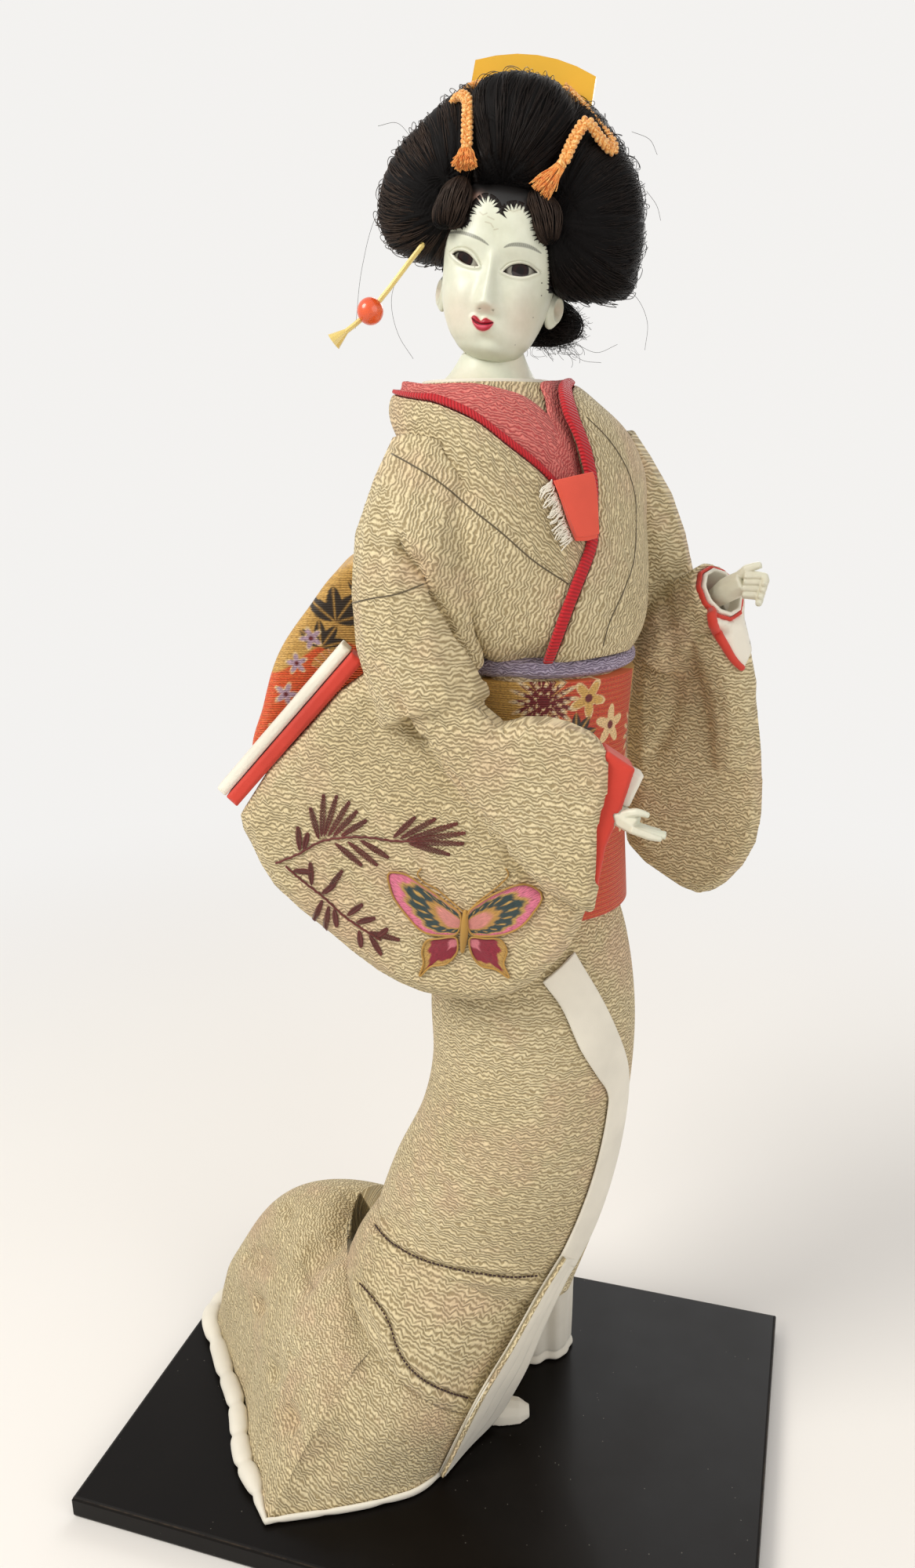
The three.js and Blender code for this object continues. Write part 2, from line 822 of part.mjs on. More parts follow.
function combSlot() {
  const depth = combThickness + 2 * slideGap;
  const geometry = new THREE.ExtrudeGeometry(combShape(slideGap, false), {
    depth,
    bevelEnabled: false,
  });
  geometry.translate(0, 0, -depth / 2);
  geometry.rotateX(Math.PI / 2);
  geometry.translate(0, combY, 0);
  return solidOf(geometry);
}

// Hairpin: a bent flat rod with a flared tip, and a bead on it, in the head's frame

const pinEntry = point(-24.9, -8.5, 0.1);
const pinBead = point(-35.3, -10.4, -17.1);
const pinTip = point(-42.6, -11.7, -25);
const pinAxis = pinEntry.clone().sub(pinBead).normalize();
const pinInner = pinEntry.clone().addScaledVector(pinAxis, pinInHair);

function pinSolid() {
  const shaft = rod([pinInner, pinEntry, pinBead, pinTip], pinRadius, 6, 9);
  const flare = new THREE.LatheGeometry(
    [
      new THREE.Vector2(0, -0.5),
      new THREE.Vector2(pinRadius, -0.5),
      new THREE.Vector2(2.6, 4.4),
      new THREE.Vector2(1.9, 4.6),
      new THREE.Vector2(0, 2),
    ],
    12,
  );
  const towards = pinTip.clone().sub(pinBead).normalize();
  const turn = new THREE.Quaternion().setFromUnitVectors(point(0, 1, 0), towards);
  flare.applyQuaternion(turn);
  flare.translate(pinTip.x - towards.x, pinTip.y - towards.y, pinTip.z - towards.z);
  return joined(shaft, solidOf(flare));
}

function pinHole() {
  const outer = pinEntry.clone().addScaledVector(pinAxis, -12);
  const inner = pinInner.clone().addScaledVector(pinAxis, slideGap);
  return rod([inner, outer], pinRadius + slideGap, 8, 1);
}

function beadSolid() {
  const half = point(pinBeadRadius, pinBeadRadius, pinBeadRadius);
  const ball = ellipsoid(pinBead, half, point(0, 0, 0), 0, 8, 6);
  const before = pinBead.clone().addScaledVector(pinAxis, 8);
  return ball.subtract(rod([before, pinBead, pinTip], pinRadius + gap, 6, 4));
}

// Hair cords with their tassels, in the head's frame

const rightCordPath = [
  point(-11, 0.2, 50.5),
  point(-17.5, -4, 45),
  point(-19, -10.5, 38),
  point(-14, -16, 33),
  point(-12.5, -18.8, 27.5),
];
const leftCordPath = [
  point(11, 0.2, 50),
  point(19.5, -4, 45.5),
  point(27, -6, 38),
  point(22, -12.5, 34.5),
  point(17, -15, 37),
  point(15.5, -17.5, 31),
  point(14, -18.8, 26),
];

const cord = (path, grow) => rod(path, cordRadius + grow, 6, (path.length - 1) * 3);

function tassel(path, grow) {
  const end = path[path.length - 1];
  const towards = end.clone().sub(path[path.length - 2]).normalize();
  towards.lerp(point(0, -0.35, -1).normalize(), 0.6).normalize();
  const start = end.clone().addScaledVector(towards, grow > 0 ? 0 : gap);
  const profile = [
    [0, -grow],
    [cordRadius + 0.2 + grow, -grow],
    [cordRadius + 0.9 + grow, 2.4],
    [tasselRadius * 0.8 + grow, 6],
    [tasselRadius + grow, tasselLength - 1],
    [tasselRadius * 0.8 + grow, tasselLength + grow],
    [0, tasselLength + grow],
  ].map(([radius, height]) => new THREE.Vector2(radius, height));
  const geometry = new THREE.LatheGeometry(profile, 10);
  geometry.applyQuaternion(new THREE.Quaternion().setFromUnitVectors(point(0, 1, 0), towards));
  geometry.translate(start.x, start.y, start.z);
  return solidOf(geometry);
}

// Arms and hands, in the figure's frame

const rightArmPath = [point(8, -12, 348), point(-3, -22, 318), point(2, -27, 287), point(47.4, -45.5, 262)];
const leftArmPath = [point(52, 32, 348), point(70, 35, 318), point(77, 31, 291)];
const leftForearm = [point(77, 32, 290), point(83, 22, 300), point(90, 12, 313)];
const armRadii = [limbRadius + 1.4, limbRadius + 0.6, limbRadius, wristRadius];
const forearmRadii = [limbRadius + 0.6, limbRadius, wristRadius];

const rightArm = (grow) => limb(rightArmPath, armRadii, 8, grow);
const leftArm = (grow) =>
  joined(
    limb(leftArmPath, [limbRadius + 1.4, limbRadius + 0.6], 8, grow),
    limb(leftForearm, forearmRadii, 8, grow),
  );

function finger(path, radius) {
  return limb(path, [radius, radius * 0.95, radius * 0.6], 5, 0);
}

// Fingers lie side by side and point to her left, with the thumb above them.
function rightHandSolid() {
  const wrist = rightArmPath[rightArmPath.length - 1];
  const at = (x, y, height) => wrist.clone().add(point(x, y, height));
  const palm = limb([at(0.6, 0, 0), at(5, -3.6, -2.6), at(9.6, -6.4, -5)], [2.6, 3.3, 3], 8, 0);
  const fingers = [0, 1, 2, 3].map((k) =>
    finger(
      [
        at(8.1, -4.4 - k * 1.35, -5 - k * 0.2),
        at(13.6, -5 - k * 1.3, -6.8 - k * 0.3),
        at(19.1 - Math.abs(k - 1.4) * 1.4, -5.6 - k * 1.15, -7.4 - k * 0.4),
      ],
      1.25,
    ),
  );
  const thumb = finger([at(5.6, -5.6, -2), at(9.6, -8.1, -0.5), at(13.1, -8.6, -1.4)], 1.3);
  return joined(palm, ...fingers, thumb);
}

// A loose fist with the thumb laid over the bent fingers.
function leftHandSolid() {
  const wrist = leftForearm[leftForearm.length - 1];
  const at = (x, y, height) => wrist.clone().add(point(x, y, height));
  const palm = limb([at(0.5, -0.6, 0.8), at(4.5, -6, 5), at(8.5, -10.4, 8)], [2.8, 3.9, 3.7], 8, 0);
  const fingers = [0, 1, 2, 3].map((k) =>
    finger(
      [
        at(8, -12.4 + k * 0.2, 10.2 - k * 2),
        at(14 - k * 0.5, -13.6, 9.6 - k * 2),
        at(13.4 - k * 0.5, -16.4, 7.4 - k * 2),
      ],
      1.3,
    ),
  );
  const thumb = finger([at(5.5, -8.5, 7.5), at(8.5, -12, 12), at(12.5, -13.6, 13.5)], 1.35);
  return joined(palm, ...fingers, thumb);
}

// Sleeves, in the figure's frame

const rightSleevePlane = { x: 6, y: -35, slope: -0.27, height: 240, lean: 0.02 };
const rightDrapePlane = { x: 20, y: -48, slope: -0.2, height: 270, lean: 0.05 };
const leftSleevePlane = { x: 90, y: 17, slope: -0.36, height: 270, lean: 0.02 };
const bagThickness = 13;
const drapeThickness = 17;

const rightBagOutline = flat([
  [-20, 299],
  [-40, 281],
  [-66, 249],
  [-63, 240],
  [-56, 226],
  [-38, 211],
  [-22, 199],
  [-8, 193],
  [8, 192],
  [22, 196],
  [34, 207],
  [42, 220],
  [45, 240],
  [30, 270],
  [5, 295],
]);
const rightDrapeOutline = flat([
  [-14, 300],
  [-9, 306],
  [4, 298],
  [17, 284],
  [26, 286],
  [38, 285],
  [50, 277],
  [47, 256],
  [45, 230],
  [36, 233],
  [27, 240],
  [12, 257],
  [-1, 275],
]);
const leftBagOutline = flat([
  [67, 290],
  [67, 270],
  [67, 246],
  [68, 223],
  [81, 212],
  [92, 207],
  [101, 212],
  [110, 228],
  [111, 250],
  [108, 277],
  [103, 303],
  [91, 321],
  [84, 320],
  [74, 306],
]);
const rightUpperPath = [point(3, -13, 362), point(-6, -19, 336), point(-7, -23, 308), point(-1, -29, 287)];
const leftUpperPath = [point(52, 30, 358), point(66, 33, 340), point(74, 34, 318), point(77, 31, 296)];
const leftForearmPath = [point(77, 28, 296), point(84, 19, 308), point(92, 9, 316)];
const sleeveSides = 10;
const upperSleeveRadii = [16, 18.5, 18, 17];
const leftUpperRadii = [17, 15.5, 14.5, 14];
const leftForearmRadii = [14, 12.5, 11.5];
const leftDrapePath = [point(92, 12, 304), point(99, 15, 284), point(101, 17, 256)];
const leftDrapeRadii = [9.5, 8.5, 7];
const liningInset = 2.2;
const cuffDepth = 12;
const rightRedOutline = flat([
  [37, 275],
  [49, 279],
  [56.5, 274],
  [53, 262],
  [48.5, 250],
  [46.5, 238],
  [38, 243],
]);
const rightWhiteOutline = flat([
  [39, 273],
  [50, 276.5],
  [59.5, 271.5],
  [55, 261],
  [49, 252],
  [40, 250],
]);
const rightBagEdge = flat([
  [-23, 301],
  [-67, 252],
]);
const furiRed = 5;
const furiWhite = 4;

function rightSleeveForm(grow) {
  return joined(
    limb(rightUpperPath, upperSleeveRadii, sleeveSides, grow),
    slab(smooth(rightDrapeOutline, 2), rightDrapePlane, drapeThickness, 3, grow),
    slab(smooth(rightBagOutline, 2), rightSleevePlane, bagThickness, 4, grow),
  );
}

function leftSleeveForm(grow) {
  return joined(
    limb(leftUpperPath, leftUpperRadii, sleeveSides, grow),
    limb(leftForearmPath, leftForearmRadii, sleeveSides, grow),
    limb(leftDrapePath, leftDrapeRadii, 10, grow),
    slab(smooth(leftBagOutline, 2), leftSleevePlane, bagThickness, 4, grow),
  );
}

// Linings that stand out of the right cuff, one inside the other.
function rightLining(outline, inset, grow) {
  const plane = { ...rightDrapePlane, y: rightDrapePlane.y + inset };
  return slab(outline, plane, drapeThickness - 2 * inset, 1, grow);
}

const rightRed = (grow) => rightLining(rightRedOutline, liningInset, grow);
const rightWhite = (grow) => rightLining(rightWhiteOutline, 2 * liningInset + 0.2, grow);

// Linings in the mouth of the left cuff, as rings round the arm.
function leftLining(radius, out, grow) {
  const mouth = leftForearmPath[leftForearmPath.length - 1];
  const along = mouth.clone().sub(leftForearmPath[leftForearmPath.length - 2]).normalize();
  const inner = mouth.clone().addScaledVector(along, -cuffDepth);
  const outer = mouth.clone().addScaledVector(along, out);
  return limb([inner, outer], [radius - 0.6, radius], sleeveSides, grow);
}

// The strips of lining along the open back edge of the right sleeve.
function furiStrip(from, to) {
  const [top, bottom] = rightBagEdge;
  const across = new THREE.Vector2(top.y - bottom.y, bottom.x - top.x).normalize().negate();
  const shifted = (p, by) => p.clone().addScaledVector(across, by);
  const outline = [shifted(top, from), shifted(bottom, from), shifted(bottom, to), shifted(top, to)];
  return slab(outline, { ...rightSleevePlane, y: rightSleevePlane.y + 2 }, bagThickness - 4, 1, 0);
}

// Legs and feet, in the figure's frame

const hipHeight = coreBottom + 24;
const rightLegPath = [point(22, -2, hipHeight), point(16, -4, 100), point(4, -6, 40), point(-1, -7, 14)];
const leftLegPath = [point(42, 14, hipHeight), point(34, 20, 100), point(28, 27, 40), point(26, 29, 14)];
const legRadii = [9, 7.5, 5.6, 4.2];
const rightLeg = (grow) => limb(rightLegPath, legRadii, 8, grow);
const leftLeg = (grow) => limb(leftLegPath, legRadii, 8, grow);

// A split-toed sock on a carved foot: heel, instep and two toes, flat underneath.
function footSolid(heel, grow) {
  const length = 36;
  const sections = [
    [0, 4.2, 7.5],
    [8, 5, 13],
    [16, 5.6, 10],
    [25, 6.6, 7],
    [32, 5.8, 5.4],
    [length, 2.6, 3.2],
  ];
  const rings = sections.map(([along, half, high]) => {
    const ring = [];
    for (let i = 0; i < 12; i += 1) {
      const angle = (i / 12) * 2 * Math.PI;
      const up = Math.max(Math.sin(angle), 0) * (high + grow);
      const down = Math.min(Math.sin(angle), 0) * grow;
      const reach = along + (along === 0 ? -grow : 0) + (along === length ? grow : 0);
      ring.push(
        point(heel.x + reach, heel.y + Math.cos(angle) * (half + grow), hemClearance + up + down),
      );
    }
    return ring;
  });
  const flatRings = rings.map((ring) =>
    ring.map((p) => point(p.x, p.y, Math.max(p.z, hemClearance - Math.max(grow, 0)))),
  );
  return loft(flatRings);
}

function toeSplit(heel) {
  const box = new THREE.BoxGeometry(12, 0.8, 20);
  box.translate(heel.x + 36, heel.y + 2.4, 8);
  return solidOf(box);
}

const rightHeel = point(-7, -8, 0);
const leftHeel = point(10, 31, 0);

// Train: the hem spreads over the board from the second tuck

// Corners of the train round its top, at the second tuck, as [x, y, height].
const trainTop = [
  [22, 0, 17],
  [7, -30, 22],
  [-12, -34, 35],
  [-28, -27, 51],
  [-37, -12, 61],
  [-40, 6, 70],
  [-38, 22, 79],
  [-26, 33, 75],
  [-6, 36, 61],
  [14, 26, 38],
];
// The same corners at the hem, as [x, y], with how much the cloth bulges on its way down.
const trainHem = [
  [24, 8, 1.5],
  [-5, -37, 1.4],
  [-27, -49, 1.3],
  [-67, -56, 1.4],
  [-84, -24, 1.8],
  [-98, 18, 2.4],
  [-109, 46, 3],
  [-90, 70, 2.6],
  [-48, 72, 2],
  [2, 54, 1.5],
];
const rimWide = 5.4;
const rimNarrow = 1.5;
const rimRise = 0.12;
const trainTip = 3;
const trainRows = 5;
const foldDepth = 1.2;
const foldCount = 7;

// The rolled rim is narrow along the front edge, up to the tip, and wide round the side and back.
function rimAt(along) {
  const widening = THREE.MathUtils.smoothstep(along, 0.24, 0.34);
  const ending = 1 - THREE.MathUtils.smoothstep(along, 0.88, 1);
  return THREE.MathUtils.lerp(rimNarrow, rimWide, widening * ending);
}

// One level of the train. Its outline has a sharp corner at the tip and folds along the back, and the
// cloth ends a rim's width inside the hem.
function trainRing(share, grow, withRim = true) {
  const corners = trainTop.map(([x, y, height], i) => {
    const [hemX, hemY, bulge] = trainHem[i];
    return point(
      THREE.MathUtils.lerp(x, hemX, share),
      THREE.MathUtils.lerp(y, hemY, share),
      hemClearance + (height + grow - hemClearance) * (1 - share ** bulge),
    );
  });
  const front = new THREE.CatmullRomCurve3(corners.slice(0, trainTip + 1)).getPoints(9);
  const back = new THREE.CatmullRomCurve3([...corners.slice(trainTip), corners[0]]).getPoints(27);
  const ring = [...front.slice(0, -1), ...back.slice(0, -1)];
  const centre = ring.reduce((sum, p) => sum.add(p), point(0, 0, 0)).divideScalar(ring.length);
  return ring.map((p, i) => {
    const along = i / ring.length;
    const wave = Math.sin(along * foldCount * 2 * Math.PI) * foldDepth * share * Math.min(along * 4, 1);
    const outward = p.clone().sub(centre).setZ(0).normalize();
    const inset = (withRim ? rimAt(along) * share : 0) - grow;
    return p.clone().addScaledVector(outward, (along > 0.28 ? wave : 0) - inset);
  });
}

function train(grow) {
  const rings = [];
  for (let row = 0; row <= trainRows; row += 1) rings.push(trainRing(row / trainRows, grow));
  return loft(rings);
}

// The white edge of the skirt's front, from the sash down to the first tuck, as [angle, height].
const frontBandEdges = [
  [[-88, 193.6], [-78, 184], [-68, 168], [-58, 156.5], [-49, 148], [-47, 140], [-48, 113], [-52, 86]],
  [[-69, 202.7], [-54, 185], [-39, 165], [-28, 149.5], [-23, 135], [-22, 118], [-27, 98], [-34, 81]],
];

// Below the first tuck the white edge hangs as three rolled layers down to the board. Its line along
// the crepe and its free edge, as [x, y, height].
const foldInner = [
  [39.6, -20.9, 84],
  [33, -22.6, 73],
  [20, -28, 51],
  [8.6, -32.6, 33],
  [3, -34.4, 22],
  [-6, -37, 3],
];
const foldOuter = [
  [46.6, -13.6, 76],
  [38, -17, 60],
  [27, -17.6, 30],
  [15, -14.5, 3],
  [6.5, -23, 1],
  [-2, -34, 1],
];
const foldLayers = 3;
const foldThickness = 1.4;
const layerDepth = 1;
const foldSteps = 8;
const foldColumns = 6;

function frontFold(grow) {
  const route = (edge) => new THREE.CatmullRomCurve3(edge.map(([x, y, height]) => point(x, y, height)));
  const inner = route(foldInner);
  const outer = route(foldOuter);
  const rings = [];
  for (let i = 0; i <= foldSteps; i += 1) {
    const t = i / foldSteps;
    const a = inner.getPoint(t);
    const across = outer.getPoint(t).sub(a);
    const along = inner.getTangent(t);
    const face = across.clone().cross(along).normalize();
    if (i === foldSteps) a.addScaledVector(along, grow);
    if (face.y > 0) face.negate();
    const under = [];
    const over = [];
    for (let k = 0; k <= foldColumns; k += 1) {
      const share = k / foldColumns;
      const layer = Math.abs(Math.sin(share * foldLayers * Math.PI)) * layerDepth;
      const reach = a.clone().addScaledVector(across, share + (2 * share - 1) * (grow / across.length()));
      under.push(reach.clone().addScaledVector(face, -grow));
      over.push(reach.clone().addScaledVector(face, foldThickness + layer + grow));
    }
    const ring = [...under, ...over.reverse()];
    rings.push(ring.map((p) => point(p.x, p.y, Math.max(p.z, hemClearance - grow))));
  }
  return loft(rings);
}

// Obi bow: a padded drum seen from its end, wider at its lower fold

const bowOutline = flat([
  [1, 279],
  [1, 314],
  [-8, 326],
  [-19, 331],
  [-30, 328],
  [-42, 315],
  [-52, 301],
  [-58, 284],
  [-62, 266],
  [-58, 260],
  [-44, 263],
  [-26, 270],
]);
const bowPlane = { x: -30, y: -4, slope: 0.06, height: 290, lean: 0 };
const bowWidth = 58;
const pillowPath = [point(-10, -3.4, 317), point(-10, 56, 317)];
const pillowRadius = 6;
const tailPlane = { ...bowPlane, y: 3 };
const tailShare = 0.75;
const tailOutline = flat([
  [4, 262],
  [-26, 262],
  [-44, 256],
  [-50, 236],
  [-47, 218],
  [-42, 217],
  [-38, 236],
  [-30, 250],
  [4, 254],
]);

// Assembly

const root = new THREE.Group();
const figure = new THREE.Group();
figure.position.set(0, 0, boardThickness);
figure.rotation.z = radians(figureTurn);
root.add(figure);
const headGroup = new THREE.Group();
headGroup.applyMatrix4(headMatrix);
figure.add(headGroup);
figure.updateMatrix();

function add(group, name, solid, finish) {
  const mesh = new THREE.Mesh(geometryOf(solid), new THREE.MeshStandardMaterial(finish));
  mesh.name = name;
  group.add(mesh);
}

// Feet, nails and board
const nailPlaces = [point(rightHeel.x + 9, rightHeel.y, 0), point(leftHeel.x + 9, leftHeel.y, 0)];
const nailHoles = nailPlaces.map((place) => nailSolid(place, gap));
add(figure, "nail_right", nailSolid(nailPlaces[0], 0), steel);
add(figure, "nail_left", nailSolid(nailPlaces[1], 0), steel);
const boardHoles = nailHoles.map((hole) => moved(hole, figure.matrix));
add(root, "base_board", without(boardSolid(), ...boardHoles), lacquer);

const rightFootCut = footSolid(rightHeel, gap);
const leftFootCut = footSolid(leftHeel, gap);
const feet = { right: rightHeel, left: leftHeel };
const legs = { right: rightLeg, left: leftLeg };
for (const side of ["right", "left"]) {
  const index = side === "right" ? 0 : 1;
  const foot = footSolid(feet[side], 0);
  const legCut = legs[side](gap);
  add(figure, "foot_" + side, without(foot, legCut, nailHoles[index], toeSplit(feet[side])), whiteSilk);
}

// Inner body
const neckCut = neckSolid(slideGap);
const coreCut = core(gap);
const rightArmCut = rightArm(gap);
const leftArmCut = leftArm(gap);
const rightLegCut = rightLeg(gap);
const leftLegCut = leftLeg(gap);
add(
  figure,
  "body_core",
  without(core(0), neckCut, rightArmCut, leftArmCut, rightLegCut, leftLegCut),
  straw,
);
add(figure, "leg_right", rightLeg(0), wadding);
add(figure, "leg_left", leftLeg(0), wadding);
add(figure, "arm_right", rightArm(0), wadding);
add(figure, "arm_left", leftArm(0), wadding);
add(figure, "hand_right", without(rightHandSolid(), rightArmCut), gofun);
add(figure, "hand_left", without(leftHandSolid(), leftArmCut), gofun);

// Under-robe, train and skirt, from the inside out
const limbCuts = [rightLegCut, leftLegCut, rightFootCut, leftFootCut];
const lowerCuts = [...limbCuts, underRobe(gap)];
const trainCut = train(gap);
const skirtBandCut = skirtBand(gap);
add(figure, "under_robe", mainBody(without(underRobe(0), ...limbCuts)), whiteSilk);
add(figure, "train", mainBody(without(train(0), ...lowerCuts)), crepe);
add(figure, "skirt_band", mainBody(without(skirtBand(0), ...lowerCuts, trainCut)), crepe);
const skirtSolid = without(skirt(0), ...lowerCuts, coreCut, skirtBandCut, trainCut);
add(figure, "skirt", mainBody(skirtSolid), crepe);
const upperBand = surfaceBand(skirtForm, frontBandEdges, [0, 1], clearOfSkin, bandRise, 16);
const lowerBand = without(frontFold(0), trainCut, ...lowerCuts, skirtBandCut, skirt(gap));
add(figure, "front_band", joined(upperBand, mainBody(lowerBand)), whiteSilk);
const rim = loft([trainRing(1, 0, false), trainRing(1 - rimRise, 0, false)]);
const rimSolid = without(rim, trainCut, ...lowerCuts, skirtBandCut, frontFold(gap));
add(figure, "hem_rim", mainBody(rimSolid), whiteSilk);

// Bodice, open at the neck, with the white dish of the inner collar in the opening
const neckOpening = (grow) => ovalLoft(neckOpeningStations, bodyTurn, bodySides, grow);
const dish = ovalLoft(neckDishStations, bodyTurn, bodySides, 0);
const innerForm = ovalLoft(innerCollarStations, bodyTurn, bodySides, -gap);
const innerCollar = without(innerForm, dish, neckCut, coreCut);
add(figure, "inner_collar", mainBody(innerCollar), whiteSilk);
const bodiceSolid = without(bodice(0), coreCut, neckOpening(0), neckCut, rightArmCut, leftArmCut);
add(figure, "bodice", mainBody(bodiceSolid), crepe);

// Collars in layers: pink under-collar, red piping and the kimono's own collar
const pinkThickness = collarThickness * 0.6;
const pinkRight = surfaceBand(bodiceForm, rightPinkEdges, [0, 1], clearOfSkin, pinkThickness, 18);
const pinkLeft = surfaceBand(bodiceForm, leftPinkEdges, [0, 1], clearOfSkin, pinkThickness, 18);
const pinkUnder = mainBody(without(pinkRight, swollen(pinkLeft, 2 * gap)));
add(figure, "under_collar_right", pinkUnder, pinkCrepe);
add(figure, "under_collar_left", pinkLeft, pinkCrepe);
const collarCuts = {};
for (const [side, edges] of Object.entries(collarEdges)) {
  const lift = side === "left" ? leftLift : clearOfSkin + layer;
  const steps = 18;
  const piping = surfaceBand(bodiceForm, edges, pipingRange, lift, collarThickness, steps);
  const collar = surfaceBand(bodiceForm, edges, collarRange, lift, collarThickness, steps, 5);
  collarCuts[side] = swollen(collar, 2 * gap);
  add(figure, "piping_" + side, piping, redSilk);
  add(figure, "collar_" + side, collar, crepe);
}
const tissueLift = clearOfSkin + 3 * layer;
const tissue = surfaceBand(bodiceForm, tissueEdges, [0, 1], tissueLift, collarThickness, 6);
add(figure, "chest_tissue", tissue, pinkCrepe);

// Sash, its band and the bow at the back
const obiForm = (grow) => ovalLoft(widened(obiStations, obiThickness + gap), 0, bodySides, grow);
const bandForm = (grow) => ovalLoft(widened(sashBandStations, gap), bodyTurn, bodySides, grow);
const bodyCuts = [skirt(gap), bodice(gap)];
const obiCut = obiForm(gap);
const bandCut = bandForm(gap);
add(figure, "obi", mainBody(without(obiForm(0), ...bodyCuts)), brocade);
add(figure, "obi_age", mainBody(without(bandForm(0), ...bodyCuts)), lavenderCrepe);
const bow = (grow) => slab(smooth(bowOutline, 2), bowPlane, bowWidth, 5, grow);
const pillow = (grow) => limb(pillowPath, [pillowRadius, pillowRadius], 12, grow);
const tail = (grow) => slab(smooth(tailOutline, 2), tailPlane, bowWidth * tailShare, 1.5, grow);
const backCuts = [...bodyCuts, obiCut, bandCut];
add(figure, "obi_pillow", mainBody(without(pillow(0), ...backCuts)), wadding);
add(figure, "obi_bow", mainBody(without(bow(0), ...backCuts, pillow(gap))), brocade);
const bowCut = bow(gap);
add(figure, "obi_tail", mainBody(without(tail(0), ...backCuts, bowCut)), brocade);

// Sleeves with their linings
const innerCuts = [...backCuts, bowCut, pillow(gap)];
const rightSleeveCuts = [...innerCuts, rightArmCut, rightRed(gap), collarCuts.right];
const rightSleeve = without(rightSleeveForm(0), ...rightSleeveCuts);
add(figure, "sleeve_right", mainBody(rightSleeve), crepe);
const rightHandCut = swollen(rightHandSolid(), gap * 1.4);
const redRight = without(rightRed(0), rightWhite(gap), rightArmCut, rightHandCut);
add(figure, "cuff_red_right", mainBody(redRight), redSilk);
add(figure, "cuff_white_right", mainBody(without(rightWhite(0), rightArmCut, rightHandCut)), whiteSilk);
add(figure, "furi_red", furiStrip(gap, furiRed), redSilk);
add(figure, "furi_white", furiStrip(furiRed + gap, furiRed + furiWhite), whiteSilk);
const mouthRadius = leftForearmRadii[leftForearmRadii.length - 1] - liningThickness - gap;
const redLeft = leftLining(mouthRadius, 1.5, 0);
const whiteLeft = leftLining(mouthRadius - liningThickness - gap, 2.4, 0);
const openMouth = leftLining(mouthRadius - 2 * liningThickness - gap, 6, 0);
const leftMouth = leftLining(mouthRadius, 6, gap);
const leftSleeveCuts = [...innerCuts, leftArmCut, leftMouth, collarCuts.left];
const leftSleeve = without(leftSleeveForm(0), ...leftSleeveCuts);
add(figure, "sleeve_left", mainBody(leftSleeve), crepe);
const whiteCut = leftLining(mouthRadius - liningThickness - gap, 6, gap);
const leftCuffCuts = [leftArmCut, swollen(leftHandSolid(), gap * 1.4)];
add(figure, "cuff_red_left", mainBody(without(redLeft, whiteCut, ...leftCuffCuts)), redSilk);
add(figure, "cuff_white_left", mainBody(without(whiteLeft, openMouth, ...leftCuffCuts)), whiteSilk);

// Head with its eyes
const neckInHead = (grow) => moved(neckSolid(grow), intoHead);
const skull = joined(skullSolid(15, 20, 0), earSolid(1), earSolid(-1), neckInHead(0));
const eyeCuts = [1, -1].flatMap((side) => [eyeSolid(side, gap), eyeSlit(side)]);
add(headGroup, "head", without(skull, ...eyeCuts), gofun);
add(headGroup, "eye_left", eyeSolid(1, 0), glassEye);
add(headGroup, "eye_right", eyeSolid(-1, 0), glassEye);

// Hair: each mass is cut clear of the ones beneath it
const skullCut = joined(
  skullSolid(10, 16, hairClearance),
  earShell(1, hairClearance),
  earShell(-1, hairClearance),
  neckInHead(hairClearance),
);
const cords = { right: rightCordPath, left: leftCordPath };
const trims = Object.values(cords).flatMap((path) => [cord(path, gap), tassel(path, gap)]);
const fittings = [combSlot(), pinHole(), ...trims];
const beneath = [skullCut];
for (const name of ["cap", "back", "knot", "front", "right", "left", "nape"]) {
  const cutters = name === "cap" ? [...beneath, faceSide()] : beneath;
  add(headGroup, "hair_" + name, mainBody(without(hairForms[name], ...cutters, ...fittings)), hairSilk);
  beneath.push(swollen(hairForms[name], gap));
}
for (const [side, sign] of [["right", -1], ["left", 1]]) {
  const tuft = ellipsoid(point(sign * 14, -15.4, 8), point(3.2, 3, 6.4), point(0, 0, 0), 0, 8, 6);
  add(headGroup, "forelock_" + side, mainBody(without(tuft, ...beneath)), hairSilk);
}

// Comb, hairpin and hair cords
add(headGroup, "comb", combSolid(), amber);
add(headGroup, "hairpin", pinSolid(), amber);
add(headGroup, "pin_bead", beadSolid(), coral);
for (const [side, path] of Object.entries(cords)) {
  add(headGroup, "hair_cord_" + side, cord(path, 0), orangeCord);
  add(headGroup, "tassel_" + side, tassel(path, 0), orangeCord);
}

export default root;
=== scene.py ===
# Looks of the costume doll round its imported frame. Metres, Z up, row frame.
# Shapes are worked out in millimetres, in the figure's own frame or in the head's.

import math

import bpy
import numpy as np
from mathutils import Matrix, Vector
from mathutils.bvhtree import BVHTree


